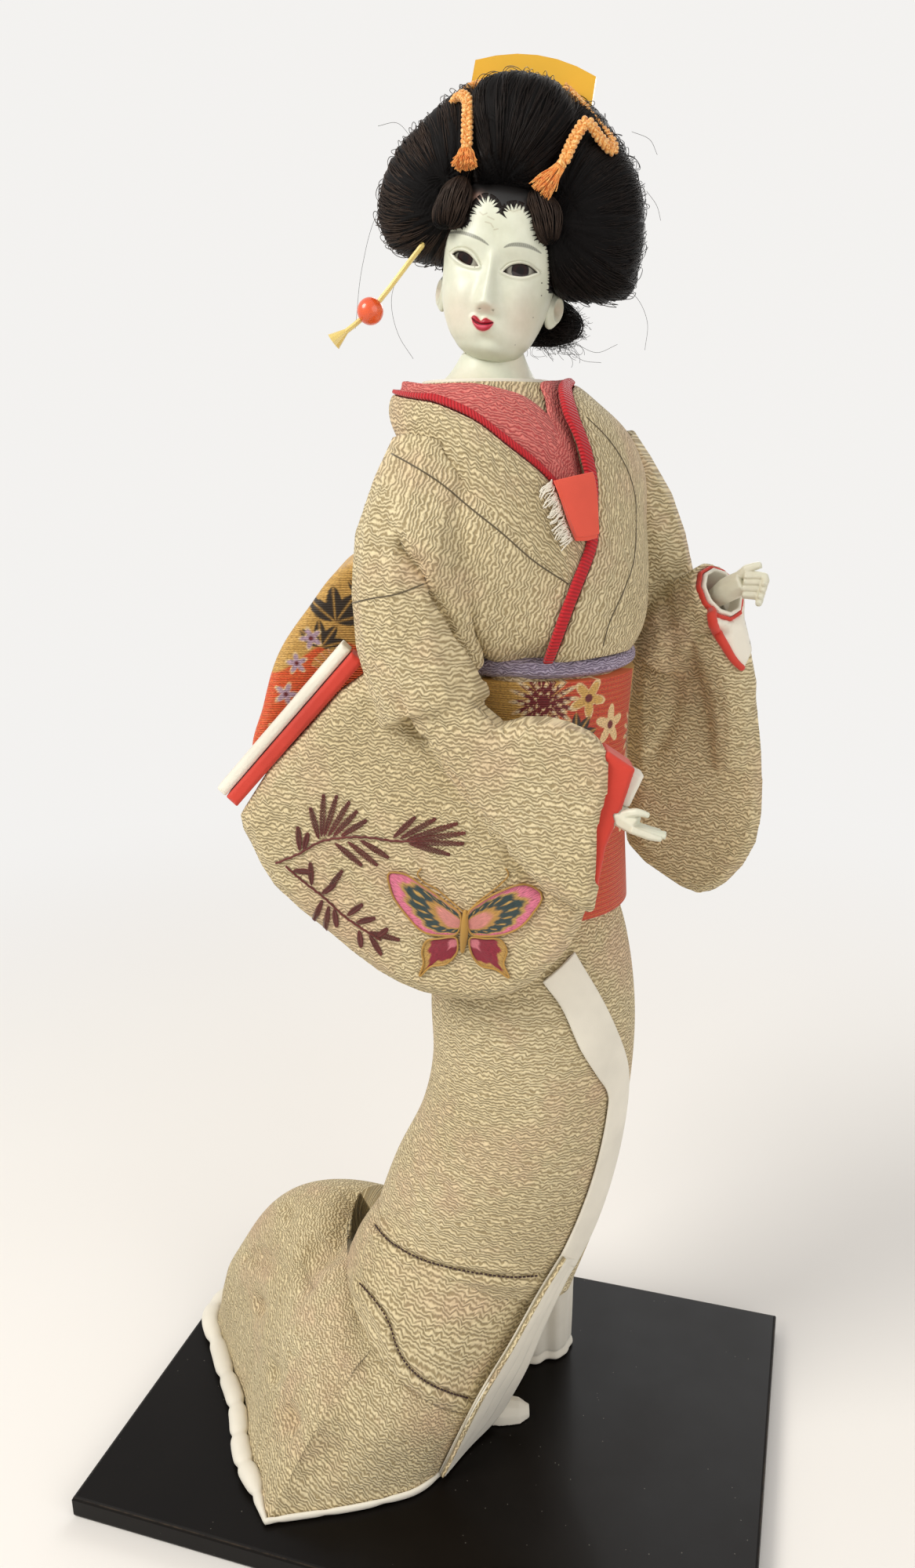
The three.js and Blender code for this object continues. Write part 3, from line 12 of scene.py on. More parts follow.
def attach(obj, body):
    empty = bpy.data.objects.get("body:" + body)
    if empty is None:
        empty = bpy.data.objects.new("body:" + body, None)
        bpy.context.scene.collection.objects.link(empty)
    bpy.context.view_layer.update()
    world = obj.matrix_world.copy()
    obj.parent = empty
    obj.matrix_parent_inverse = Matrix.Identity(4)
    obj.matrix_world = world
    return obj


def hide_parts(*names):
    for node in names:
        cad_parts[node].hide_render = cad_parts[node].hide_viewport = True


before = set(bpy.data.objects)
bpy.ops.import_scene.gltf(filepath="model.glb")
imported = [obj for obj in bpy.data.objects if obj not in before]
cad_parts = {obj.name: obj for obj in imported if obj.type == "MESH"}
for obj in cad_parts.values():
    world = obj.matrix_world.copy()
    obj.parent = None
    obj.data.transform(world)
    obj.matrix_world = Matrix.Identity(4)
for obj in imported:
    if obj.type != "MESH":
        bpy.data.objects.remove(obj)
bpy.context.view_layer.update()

MM = 0.001
ROW = Matrix.Identity(4)
rng = np.random.default_rng(7)

# Frames

FIGURE_TURN = 17.645
BOARD_TOP = 9.0
HEAD_PLACE = (20.4, 4.0, 413.8)
HEAD_YAW, HEAD_ROLL, HEAD_NOD = -10.2, 10.6, 0.7


def turn(degrees, axis):
    return Matrix.Rotation(math.radians(degrees), 4, axis)


FIGURE = Matrix.Translation((0, 0, BOARD_TOP)) @ turn(FIGURE_TURN, "Z")
HEAD = FIGURE @ Matrix.Translation(HEAD_PLACE)
HEAD = HEAD @ turn(HEAD_ROLL, "Y") @ turn(HEAD_YAW, "Z") @ turn(HEAD_NOD, "X")


def to_row(points, place):
    m = np.array(place)
    return (np.asarray(points, float) @ m[:3, :3].T + m[:3, 3]) * MM


def from_row(points, place):
    m = np.array(place.inverted())
    return (np.asarray(points, float) / MM) @ m[:3, :3].T + m[:3, 3]


def unit(v):
    return v / np.maximum(np.linalg.norm(v, axis=-1, keepdims=True), 1e-12)


def bump(x, width):
    return np.exp(-((x / width) ** 2))


def smoothstep(x, low, high):
    t = np.clip((x - low) / (high - low), 0, 1)
    return t * t * (3 - 2 * t)


def spline(x, xs, ys):
    """A smooth curve through ys at xs, read at x."""
    xs, ys = np.asarray(xs, float), np.asarray(ys, float)
    flip = xs[0] > xs[-1]
    if flip:
        xs, ys = xs[::-1], ys[::-1]
    slope = np.gradient(ys, xs, axis=0)
    x = np.clip(np.asarray(x, float), xs[0], xs[-1])
    i = np.clip(np.searchsorted(xs, x, side="right") - 1, 0, len(xs) - 2)
    h = xs[i + 1] - xs[i]
    t = (x - xs[i]) / h
    shape = t.shape + (1,) * (ys.ndim - 1)
    t, h = t.reshape(shape), h.reshape(shape)
    a = (1 + 2 * t) * (1 - t) ** 2 * ys[i] + t * (1 - t) ** 2 * h * slope[i]
    return a + t * t * (3 - 2 * t) * ys[i + 1] + t * t * (t - 1) * h * slope[i + 1]


def through(points, count, closed=False):
    """count points spaced evenly along a smooth curve through the given ones."""
    p = np.asarray(points, float)
    if closed:
        p = np.vstack([p[-2:], p, p[:3]])
    reach = np.concatenate([[0], np.cumsum(np.linalg.norm(np.diff(p, axis=0), axis=1))])
    fine = np.linspace(reach[0], reach[-1], len(p) * 24)
    q = spline(fine, reach, p)
    if closed:
        keep = (fine >= reach[2]) & (fine <= reach[-3])
        q = q[keep]
    run = np.concatenate([[0], np.cumsum(np.linalg.norm(np.diff(q, axis=0), axis=1))])
    s = np.linspace(0, run[-1], count, endpoint=not closed)
    return np.stack([np.interp(s, run, q[:, k]) for k in range(p.shape[1])], 1)


# Meshes

def mesh_of(name, verts, faces, place=None):
    """A smooth-shaded object, from a frame's millimetres or, without a frame, from metres."""
    verts = np.asarray(verts, float) if place is None else to_row(verts, place)
    mesh = bpy.data.meshes.new(name)
    mesh.from_pydata(verts.tolist(), [], faces)
    mesh.update()
    mesh.polygons.foreach_set("use_smooth", np.ones(len(mesh.polygons), bool))
    obj = bpy.data.objects.new(name, mesh)
    bpy.context.scene.collection.objects.link(obj)
    return obj


def read(items, key, size=1, kind=int):
    """One value, or a row of size values, of every item of a mesh."""
    values = np.zeros(len(items) * size, kind)
    items.foreach_get(key, values)
    return values.reshape(-1, size) if size > 1 else values


def write_uv(mesh, u, v):
    layer = mesh.uv_layers.get("UVMap") or mesh.uv_layers.new(name="UVMap")
    layer.data.foreach_set("uv", np.stack([u, v], 1).astype(np.float32).ravel())


def set_uv(obj, u, v, period=0.0):
    """UV in metres from a value for each vertex; a seam is closed by its period."""
    mesh = obj.data
    loops = read(mesh.loops, "vertex_index")
    start, total = read(mesh.polygons, "loop_start"), read(mesh.polygons, "loop_total")
    u, v = np.asarray(u, float)[loops], np.asarray(v, float)[loops]
    if period:
        first = np.repeat(u[start], total)
        u = u - np.round((u - first) / period) * period
    write_uv(mesh, u, v)


def coords(obj):
    return read(obj.data.vertices, "co", 3, np.float32).astype(float)


def set_coords(obj, co):
    obj.data.vertices.foreach_set("co", np.asarray(co, np.float32).ravel())
    obj.data.update()


def normals(obj):
    return read(obj.data.vertex_normals, "vector", 3, np.float32).astype(float)


def faces_of(obj):
    return [p.vertices for p in obj.data.polygons]


def merged(parts):
    """One array of verts and one list of faces from several (verts, faces)."""
    verts, faces, base = [], [], 0
    for co, more in parts:
        verts.append(np.asarray(co, float))
        faces += [[v + base for v in face] for face in more]
        base += len(co)
    return np.vstack(verts), faces


def skin(rings, closed=False):
    """Verts and faces of a skin through equal rings: capped or, if closed, joined end to end."""
    rings = np.asarray(rings, float)
    rows, cols = rings.shape[:2]
    r, c = np.meshgrid(np.arange(rows if closed else rows - 1), np.arange(cols), indexing="ij")
    after, beside = (r + 1) % rows, (c + 1) % cols
    quads = [r * cols + c, r * cols + beside, after * cols + beside, after * cols + c]
    verts, faces = rings.reshape(-1, 3), np.stack(quads, -1).reshape(-1, 4).tolist()
    if closed:
        return verts, faces
    for row, order in ((0, 1), (rows - 1, -1)):
        hub = len(verts)
        verts = np.vstack([verts, rings[row].mean(0)])
        for c in range(cols):
            pair = [row * cols + c, row * cols + (c + 1) % cols]
            faces.append([hub] + pair[::-order])
    return verts, faces


def circle(count):
    """Angles once round."""
    return np.arange(count) / count * 2 * np.pi


def frames_along(path):
    """Two directions across a path that don't twist."""
    along = unit(np.gradient(path, axis=0))
    start = np.array([0.0, 0.0, 1.0]) if abs(along[0][2]) < 0.8 else np.array([0.0, 1.0, 0.0])
    side = [unit(np.cross(along[0], start))]
    for k in range(1, len(path)):
        side.append(unit(side[-1] - along[k] * (side[-1] @ along[k])))
    side = np.array(side)
    return side, np.cross(along, side)


def tube_rings(path, radius, sides):
    """Rings round a path; radius may change along it."""
    path = np.asarray(path, float)
    radius = np.broadcast_to(np.asarray(radius, float), (len(path),))
    side, over = frames_along(path)
    a = circle(sides)[None, :, None]
    ring = side[:, None] * np.cos(a) + over[:, None] * np.sin(a)
    return path[:, None] + ring * radius[:, None, None]


def tubes(name, paths, radius, place=ROW, sides=6):
    """Many tubes in one mesh. radius is one for all, or one value or list for each path."""
    radii = radius if isinstance(radius, list) else [radius] * len(paths)
    parts = [skin(tube_rings(path, r, sides)) for path, r in zip(paths, radii)]
    return mesh_of(name, *merged(parts), place)


def relax(obj, rounds):
    """Evens out the mesh, with a matching step outward so that it keeps its size."""
    co = coords(obj)
    a, b = read(obj.data.edges, "vertices", 2).T
    count = np.maximum(np.bincount(np.concatenate([a, b]), minlength=len(co)).astype(float), 1)
    for step in (0.5, -0.5 * 1.03) * rounds:
        total = [np.bincount(a, co[b, i], len(co)) + np.bincount(b, co[a, i], len(co))
                 for i in range(3)]
        co = co + (np.stack(total, 1) / count[:, None] - co) * step
    set_coords(obj, co)


def cad(*nodes):
    return [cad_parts[node] for node in nodes]


def remeshed(name, nodes, voxel, rounds, swell=0.0, extra=()):
    """One skin round copies of CAD nodes, and of extra (verts, faces) in the row frame, relaxed."""
    parts = [(coords(o) + normals(o) * swell * MM, faces_of(o)) for o in cad(*nodes)]
    obj = mesh_of(name, *merged(parts + list(extra)))
    modifier = obj.modifiers.new("remesh", "REMESH")
    modifier.mode, modifier.voxel_size, modifier.adaptivity = "VOXEL", voxel * MM, 0
    graph = bpy.context.evaluated_depsgraph_get()
    made = bpy.data.meshes.new_from_object(obj.evaluated_get(graph))
    obj.modifiers.clear()
    obj.data = made
    made.name = name
    made.polygons.foreach_set("use_smooth", np.ones(len(made.polygons), bool))
    relax(obj, rounds)
    return obj


def wear(material, *objs):
    """Gives objects one material, in the place of what they had."""
    for obj in objs:
        obj.data.materials.clear()
        obj.data.materials.append(material)


def finish_piece(obj, body, material, slot=None, replaces=()):
    wear(material, obj)
    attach(obj, body)
    if replaces:
        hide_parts(*replaces)


# Oval forms of the dressed body, as in the CAD: height, centre x y, half width, half depth, slopes

class Form:
    def __init__(self, stations, degrees):
        self.rows = np.array([list(s) + [0] * (7 - len(s)) for s in stations], float)
        self.turn = math.radians(degrees)

    def at(self, angle, level):
        s = spline(level, self.rows[:, 0], self.rows[:, 1:])
        u = s[..., 2] * np.cos(np.radians(angle))
        v = s[..., 3] * np.sin(np.radians(angle))
        dx = u * math.cos(self.turn) - v * math.sin(self.turn)
        dy = u * math.sin(self.turn) + v * math.cos(self.turn)
        height = level + s[..., 4] * dx + s[..., 5] * dy
        return np.stack([s[..., 0] + dx, s[..., 1] + dy, height], -1)

    def lifted(self, angle, level, lift):
        angle, level = np.broadcast_arrays(np.asarray(angle, float), np.asarray(level, float))
        out = np.cross(self.at(angle + 1, level) - self.at(angle - 1, level),
                       self.at(angle, level + 1) - self.at(angle, level - 1))
        return self.at(angle, level) + unit(out) * np.asarray(lift, float)[..., None]


BODICE = Form([
    (289, 33, 8, 27.5, 26.5), (300, 33, 8, 28, 27), (308, 32, 8, 34, 30), (322, 30.5, 8, 38.5, 30),
    (338, 29.5, 8, 40, 28.5), (356, 28.5, 8, 40, 27.5), (366, 25, 8, 38.5, 26.5),
    (375, 18.5, 8, 32.5, 25.5), (382, 15.5, 8, 26.5, 21.5),
], 50)
SKIRT = Form([
    (68.1, 8, 4, 38, 30, -0.371, -0.13), (100, 19, 5, 39, 32, -0.24, -0.08),
    (125, 27, 6, 37, 33, -0.12, -0.04), (150, 31, 7, 36.5, 33), (175, 31, 7, 36.5, 33),
    (200, 31, 8, 33, 31), (213.5, 31.5, 8, 29, 28.5), (250, 32, 8, 27, 27), (289, 33, 8, 27, 26.5),
], 0)
TIER = Form([
    (42.5, -10.5, -1, 29.5, 35, -0.811, 0.223), (57, -4, 1, 32, 33, -0.6, 0.05),
    (76, 9, 4, 36.4, 28.4, -0.371, -0.13),
], 0)
UNDER = Form([(0.4, 27, 32, 22, 14), (30, 27, 27, 22, 15), (56, 27, 20, 21.5, 15.5),
              (76, 26, 14, 19, 15)], -12)
OBI = Form([(213.5, 31.5, 8, 29, 28.5), (250, 32, 8, 27, 27), (289, 33, 8, 27.5, 27),
            (294, 33, 8, 28, 27.5)], 0)

# Materials


class Tree:
    """A node tree, with short ways to add and join nodes."""

    def __init__(self, tree):
        self.tree = tree

    def add(self, kind, **settings):
        node = self.tree.nodes.new("ShaderNode" + kind)
        for key, value in settings.items():
            if hasattr(node, key) and key not in node.inputs:
                setattr(node, key, value)
            else:
                node.inputs[key].default_value = value
        return node

    def join(self, out, into):
        self.tree.links.new(out, into)

    def coord(self, kind="UV", scale=(1, 1, 1)):
        source = self.add("TexCoord")
        mapping = self.add("Mapping", Scale=scale)
        self.join(source.outputs[kind], mapping.inputs["Vector"])
        return mapping.outputs["Vector"]

    def axes(self, vector):
        parts = self.add("SeparateXYZ")
        self.join(vector, parts.inputs[0])
        return parts.outputs

    def plainly_seen(self):
        """1 for a ray from the camera, off a polished thing or through a clear one, else 0."""
        path = self.add("LightPath").outputs
        seen = self.math("MAXIMUM", path["Is Camera Ray"], path["Is Glossy Ray"])
        return self.math("MAXIMUM", seen, path["Is Transmission Ray"])

    def noise(self, vector, scale, detail=2.0, rough=0.5, distortion=0.0):
        node = self.add("TexNoise", Scale=scale, Detail=detail, Roughness=rough,
                        Distortion=distortion)
        self.join(vector, node.inputs["Vector"])
        return node.outputs["Fac"]

    def math(self, operation, a, b=None, c=None, clamp=False):
        node = self.add("Math", operation=operation, use_clamp=clamp)
        for i, value in enumerate((a, b, c)):
            if value is None:
                continue
            if isinstance(value, (int, float)):
                node.inputs[i].default_value = value
            else:
                self.join(value, node.inputs[i])
        return node.outputs[0]

    def ramp(self, factor, *stops):
        node = self.add("ValToRGB")
        points = node.color_ramp.elements
        while len(points) < len(stops):
            points.new(0.5)
        for point, (where, colour) in zip(points, stops):
            point.position = where
            point.color = (*colour, 1) if len(colour) == 3 else colour
        self.join(factor, node.inputs["Fac"])
        return node.outputs["Color"]

    def fade(self, factor, low, high):
        """Black up to low and white from high."""
        return self.ramp(factor, (low, (0, 0, 0)), (high, (1, 1, 1)))

    def mix(self, factor, a, b, blend="MIX"):
        node = self.add("Mix", data_type="RGBA", blend_type=blend)
        for socket, value in ((node.inputs[0], factor), (node.inputs[6], a), (node.inputs[7], b)):
            if isinstance(value, (int, float)):
                socket.default_value = value
            elif isinstance(value, tuple):
                socket.default_value = (*value, 1) if len(value) == 3 else value
            else:
                self.join(value, socket)
        return node.outputs[2]

class Nodes(Tree):
    """A material with a principled shader."""

    def __init__(self, name, roughness=0.6, **inputs):
        self.material = bpy.data.materials.new(name)
        self.material.use_nodes = True
        super().__init__(self.material.node_tree)
        self.shader = self.tree.nodes["Principled BSDF"]
        self.shader.inputs["Roughness"].default_value = roughness
        for key, value in inputs.items():
            self.shader.inputs[key.replace("_", " ")].default_value = value

    def colour(self, out):
        self.join(out, self.shader.inputs["Base Color"])

    def rough(self, out):
        self.join(out, self.shader.inputs["Roughness"])

    def relief(self, *layers):
        """Bump from (height, distance in metres, strength) layers, one over the other."""
        last = None
        for height, distance, strength in layers:
            node = self.add("Bump", Distance=distance, Strength=strength)
            self.join(height, node.inputs["Height"])
            if last is not None:
                self.join(last, node.inputs["Normal"])
            last = node.outputs["Normal"]
        self.join(last, self.shader.inputs["Normal"])


def srgb(r, g, b):
    """A colour written as it looks on screen, 0 to 255."""
    c = np.array([r, g, b], float) / 255
    return tuple(np.where(c <= 0.04045, c / 12.92, ((c + 0.055) / 1.055) ** 2.4).tolist())


def dimmed(colour, share):
    return tuple(v * share for v in colour)


FULL_TURN = 6.28318
# Lengths along a ridge of crepe, in metres: its swing, its jogs and its breaks
SWING, JOG, BREAK = 0.0026, 0.0012, 0.0022


def crepe(name, shaded_valley, lit_ridge, stain=None, pitch=1.25, depth=0.0004):
    """Silk crepe: wavy broken ridges along u, in painted light, with painted shade in the valleys.
    """
    n = Nodes(name, 0.8, Sheen_Weight=0.12, Sheen_Roughness=0.5, Specular_IOR_Level=0.3)
    step = 1 / (pitch * MM)
    swing = n.noise(n.coord("UV", (1 / SWING, 0.3 * step, 1)), 1.0, 1.0, 0.4)
    jog = n.noise(n.coord("UV", (1 / JOG, 0.8 * step, 1)), 1.0, 1.0, 0.4)
    phase = n.math("MULTIPLY_ADD", swing, 2.6, n.math("MULTIPLY", n.axes(n.coord())[1], step))
    phase = n.math("MULTIPLY_ADD", jog, 1.0, phase)
    wave = n.math("SINE", n.math("MULTIPLY", phase, FULL_TURN))
    broken = n.noise(n.coord("UV", (1 / BREAK, 0.7 * step, 1)), 1.0, 2.0, 0.6)
    height = n.math("MULTIPLY_ADD", broken, 1.5, n.math("MULTIPLY_ADD", wave, 0.5, -0.25))
    # Painted light and shade: the cloth, stain included, is paler on the ridges and darker in the
    # valleys.
    ridges = n.ramp(height, (0.12, (0, 0, 0)), (0.5, (0.62, 0.62, 0.62)), (0.95, (1, 1, 1)))
    fine = n.noise(n.coord(), 5200, 2, 0.6)
    broad = n.fade(n.noise(n.coord("Object"), 24, 3, 0.55), 0.36, 0.68)
    tone = n.mix(broad, shaded_valley, dimmed(shaded_valley, 0.84))
    light = n.mix(broad, lit_ridge, tuple(v * k for v, k in zip(lit_ridge, (0.93, 0.9, 0.84))))
    cloth = n.mix(ridges, tone, light)
    if stain is not None:
        spots = n.fade(n.noise(n.coord("Object"), 42, 3, 0.55), 0.5, 0.72)
        cloth = n.mix(n.math("MULTIPLY", spots, 0.5), cloth,
                      n.mix(ridges, dimmed(stain, 0.6), stain))
    n.colour(cloth)
    n.relief((height, depth, 0.9), (fine, 0.00005, 0.5))
    return n.material


def silk(name, colour, shade=0.85, rough=0.62):
    """Plain woven silk with a fine even thread."""
    n = Nodes(name, rough, Sheen_Weight=0.2, Specular_IOR_Level=0.3)
    thread = n.noise(n.coord("UV", (1, 3, 1)), 1500, 2, 0.5)
    broad = n.noise(n.coord("Object"), 40, 3, 0.6)
    n.colour(n.mix(n.fade(broad, 0.35, 0.75), colour, dimmed(colour, shade)))
    n.relief((thread, 0.00012, 0.6), (broad, 0.0008, 0.25))
    return n.material


def ribbed(name, colour, pitch):
    """Piping of crepe folded round a cord: fine ribs across its length, pitch in millimetres."""
    n = Nodes(name, 0.62, Sheen_Weight=0.2, Specular_IOR_Level=0.3)
    turns = n.math("MULTIPLY", n.axes(n.coord())[0], 2 * math.pi / (pitch * MM))
    ribs = n.math("MULTIPLY_ADD", n.math("SINE", turns), 0.5, 0.5)
    # Painted shade: the colour darkens between the ribs.
    n.colour(n.mix(ribs, dimmed(colour, 0.6), colour))
    n.relief((ribs, 0.0004, 0.7))
    return n.material


def speckled(name, low, high, scale, detail, roughness, **inputs):
    """Two colours mixed by an even noise."""
    n = Nodes(name, roughness, **inputs)
    n.colour(n.mix(n.noise(n.coord("Object"), scale, detail), srgb(*low), srgb(*high)))
    return n.material



BEIGE = crepe("kimono_crepe_look", srgb(164, 146, 108), srgb(233, 217, 176), srgb(222, 184, 152))
WHITE = silk("white_silk_look", srgb(238, 232, 216))
RED = silk("red_silk_look", srgb(206, 62, 46), 0.8)
CRIMSON = ribbed("crimson_piping_look", srgb(204, 24, 36), 1.1)
TISSUE_RED = silk("tissue_silk_look", srgb(232, 88, 66), 0.86)
GILT = silk("gilt_thread_look", srgb(186, 142, 66), 0.6, 0.35)
THREAD = silk("thread_look", srgb(58, 30, 26), 0.6)
PINK = crepe("pink_crepe_look", srgb(186, 78, 76), srgb(232, 134, 126), pitch=1.0, depth=0.0003)
LAVENDER = crepe("lavender_crepe_look", srgb(120, 108, 128), srgb(186, 174, 196), pitch=0.9,
                 depth=0.0003)


# Where the board's edges begin to wear, in metres from its centre and from its underside
WORN_X, WORN_Y, WORN_Z = 0.1192, 0.0822, 0.0084


def lacquer():
    """Black lacquer, worn at the upper edges, with smudges and specks of dust."""
    n = Nodes("lacquer_look", 0.3, Specular_IOR_Level=0.12, Coat_Weight=0.03, Coat_Roughness=0.12)
    place = n.coord("Object")
    x, y, z = n.axes(place)
    edge_x = n.math("SUBTRACT", n.math("ABSOLUTE", x), WORN_X)
    edge_y = n.math("SUBTRACT", n.math("ABSOLUTE", y), WORN_Y)
    near = n.math("MULTIPLY", n.math("MAXIMUM", edge_x, edge_y), 1400, clamp=True)
    top = n.math("MULTIPLY", n.math("SUBTRACT", z, WORN_Z), 1600, clamp=True)
    uneven = n.fade(n.noise(place, 140, 4, 0.7), 0.42, 0.62)
    worn = n.math("MULTIPLY", n.math("MULTIPLY", near, top), uneven)
    smudge = n.noise(place, 22, 4, 0.65)
    specks = n.add("TexVoronoi", feature="F1", Scale=260)
    n.join(place, specks.inputs["Vector"])
    dust = n.math("LESS_THAN", specks.outputs["Distance"], 0.055)
    dust = n.math("MULTIPLY", dust, n.math("GREATER_THAN", n.noise(place, 60, 1), 0.52))
    black = n.mix(smudge, srgb(7, 5, 4), srgb(16, 12, 9))
    black = n.mix(n.math("MULTIPLY", dust, 0.35), black, srgb(150, 145, 135))
    n.colour(n.mix(n.math("MULTIPLY", worn, 0.75), black, srgb(120, 100, 78)))
    n.rough(n.math("MULTIPLY_ADD", smudge, 0.25, 0.22))
    n.relief((smudge, 0.0004, 0.15))
    return n.material


wear(lacquer(), *cad("base_board"))

# Camera, lamps, floor: the photograph's angle, with a plain pale floor

PHOTO_WIDTH, PHOTO_HEIGHT, FOCAL = 1167, 2000, 1480.0
CAMERA_TURN, CAMERA_TILT, CAMERA_ROLL = 17.645, 16.4416, -0.9636
EYE = np.array([118.32, -355.15, 374.62]) * MM


def camera_axes():
    a, e, r = (math.radians(v) for v in (CAMERA_TURN, CAMERA_TILT, CAMERA_ROLL))
    back = np.array([math.sin(a) * math.cos(e), -math.cos(a) * math.cos(e), math.sin(e)])
    right = np.array([math.cos(a), math.sin(a), 0])
    up = np.cross(back, right)
    return math.cos(r) * right + math.sin(r) * up, math.cos(r) * up - math.sin(r) * right, back


AXES = camera_axes()
camera = bpy.data.objects.new("camera", bpy.data.cameras.new("camera"))
camera.data.sensor_width = 36
camera.data.lens = camera.data.sensor_width * FOCAL / PHOTO_HEIGHT
placed = np.eye(4)
placed[:3, 0], placed[:3, 1], placed[:3, 2], placed[:3, 3] = *AXES, EYE
camera.matrix_world = Matrix(placed.tolist())
camera.data.clip_start = 0.01
bpy.context.scene.collection.objects.link(camera)
bpy.context.scene.camera = camera
bpy.context.scene.view_settings.view_transform = "Standard"


def ray(px, py):
    """Direction from the eye through a pixel of the photograph."""
    right, up, back = AXES
    across = right * (px - PHOTO_WIDTH / 2) / FOCAL
    down = up * (py - PHOTO_HEIGHT / 2) / FOCAL
    return unit(across - down - back)


def tree_of(*objs):
    verts, faces = merged((coords(o), faces_of(o)) for o in objs)
    return BVHTree.FromPolygons(verts.tolist(), faces)


USUAL_REACH = 0.42


def cast(tree, pixels, lift=0.0):
    """Points in the row frame where the rays through pixels meet a surface, lifted off it by mm."""
    found, out = [], []
    for px, py in pixels:
        hit, normal, _, _ = tree.ray_cast(Vector(EYE), Vector(ray(px, py)))
        if hit is None:
            reach = (found[-1] - Vector(EYE)).length if found else USUAL_REACH
            near = Vector(EYE) + Vector(ray(px, py)) * reach
            hit, normal, _, _ = tree.find_nearest(near)
        found.append(hit)
        out.append(np.array(hit) + np.array(normal) * lift * MM)
    return np.array(out)


def laid(tree, line, count, lift):
    """Points in millimetres along a line of the photograph's pixels, laid on a surface."""
    return cast(tree, through(line, count), lift) / MM


def lamp(name, place, target, size, power, colour=(1, 1, 1)):
    data = bpy.data.lights.new(name, "AREA")
    data.shape, data.size, data.energy, data.color = "DISK", size, power, colour
    obj = bpy.data.objects.new(name, data)
    obj.location = place
    obj.rotation_euler = (Vector(target) - Vector(place)).to_track_quat("-Z", "Y").to_euler()
    bpy.context.scene.collection.objects.link(obj)


lamp("key", (-0.75, -0.75, 1.15), (0, 0, 0.25), 0.7, 15, (1.0, 0.97, 0.92))
lamp("fill", (1.1, -0.6, 0.7), (0, 0, 0.25), 1.2, 6, (1.0, 0.96, 0.94))
lamp("back", (0.1, 1.1, 1.0), (0, 0, 0.3), 0.9, 5)
LIGHT = (1.0, 0.985, 0.965, 1)
SEEN_LIGHT, ROOM_LIGHT = 0.9, 0.42
world = bpy.data.worlds.new("world")
bpy.context.scene.world = world
world.use_nodes = True
sky = Tree(world.node_tree)
strength = sky.add("MapRange")
strength.inputs["To Min"].default_value = ROOM_LIGHT
strength.inputs["To Max"].default_value = SEEN_LIGHT
sky.join(sky.plainly_seen(), strength.inputs["Value"])
background = sky.tree.nodes["Background"].inputs
sky.join(strength.outputs[0], background["Strength"])
background["Color"].default_value = LIGHT

# The floor fades to the backdrop's own light between these distances
NEAR_FLOOR, FAR_FLOOR, FLOOR_HALF = 0.22, 0.85, 3.0
floor_look = Nodes("floor_look", 0.7)
clouds = floor_look.noise(floor_look.coord("Object"), 3, 3)
floor_look.colour(floor_look.mix(clouds, srgb(236, 232, 226), srgb(242, 239, 234)))
away = floor_look.add("VectorMath", operation="LENGTH")
floor_look.join(floor_look.coord("Object"), away.inputs[0])
fade = floor_look.add("MapRange", interpolation_type="SMOOTHSTEP")
fade.inputs["From Min"].default_value = NEAR_FLOOR
fade.inputs["From Max"].default_value = FAR_FLOOR
floor_look.join(away.outputs["Value"], fade.inputs["Value"])
glow = floor_look.add("Emission", Strength=SEEN_LIGHT)
glow.inputs["Color"].default_value = LIGHT
floor_mix = floor_look.add("MixShader")
floor_share = floor_look.math("MULTIPLY", floor_look.plainly_seen(), fade.outputs["Result"])
for out, into in ((floor_share, 0), (floor_look.shader.outputs[0], 1), (glow.outputs[0], 2)):
    floor_look.join(out, floor_mix.inputs[into])
floor_end = floor_look.tree.nodes["Material Output"]
floor_look.join(floor_mix.outputs[0], floor_end.inputs["Surface"])
corners = [(x * FLOOR_HALF, y * FLOOR_HALF, 0) for x, y in ((-1, -1), (1, -1), (1, 1), (-1, 1))]
floor = mesh_of("floor", corners, [[0, 1, 2, 3]])
wear(floor_look.material, floor)

# Colours painted on vertices

def project(points):
    """Photograph pixels of points in the row frame."""
    right, up, back = AXES
    q = np.asarray(points) - EYE
    away = -(q @ back)
    across = PHOTO_WIDTH / 2 + FOCAL * (q @ right) / away
    down = PHOTO_HEIGHT / 2 - FOCAL * (q @ up) / away
    return np.stack([across, down], -1)


def from_line(p, line):
    """Each point's distance to a line of points, and how far along the nearest place is, 0 to 1."""
    line = np.asarray(line, float)
    best, where = np.full(len(p), 1e9), np.zeros(len(p))
    for k in range(len(line) - 1):
        a, d = line[k], line[k + 1] - line[k]
        t = np.clip(((p - a) @ d) / (d @ d), 0, 1)
        reach = np.linalg.norm(p - a - t[:, None] * d, axis=1)
        closer = reach < best
        best[closer] = reach[closer]
        where[closer] = (k + t[closer]) / (len(line) - 1)
    return best, where


def within(p, outline):
    """Distance inside a closed outline, negative outside it."""
    outline = np.asarray(outline, float)
    after = np.roll(outline, -1, 0)
    odd = np.zeros(len(p), bool)
    for (x0, y0), (x1, y1) in zip(outline, after):
        crosses = (y0 > p[:, 1]) != (y1 > p[:, 1])
        with np.errstate(divide="ignore", invalid="ignore"):
            odd ^= crosses & (p[:, 0] < (x1 - x0) * (p[:, 1] - y0) / (y1 - y0) + x0)
    distance, _ = from_line(p, np.vstack([outline, outline[:1]]))
    return np.where(odd, distance, -distance)


def blend(base, colour, share):
    share = np.clip(share, 0, 1)[:, None]
    return base * (1 - share) + np.array(srgb(*colour)) * share


def layered(count, ground, layers):
    """The ground colour on count vertices, with (colour, share) layers one over the other."""
    tone = np.tile(srgb(*ground), (count, 1))
    for colour, share in layers:
        tone = blend(tone, colour, share)
    return tone


def spot(p, centre, size):
    """A soft round or oval spot: 1 at its centre, fading over its size across and up."""
    return bump(np.linalg.norm((p - centre) / size, axis=1), 1)


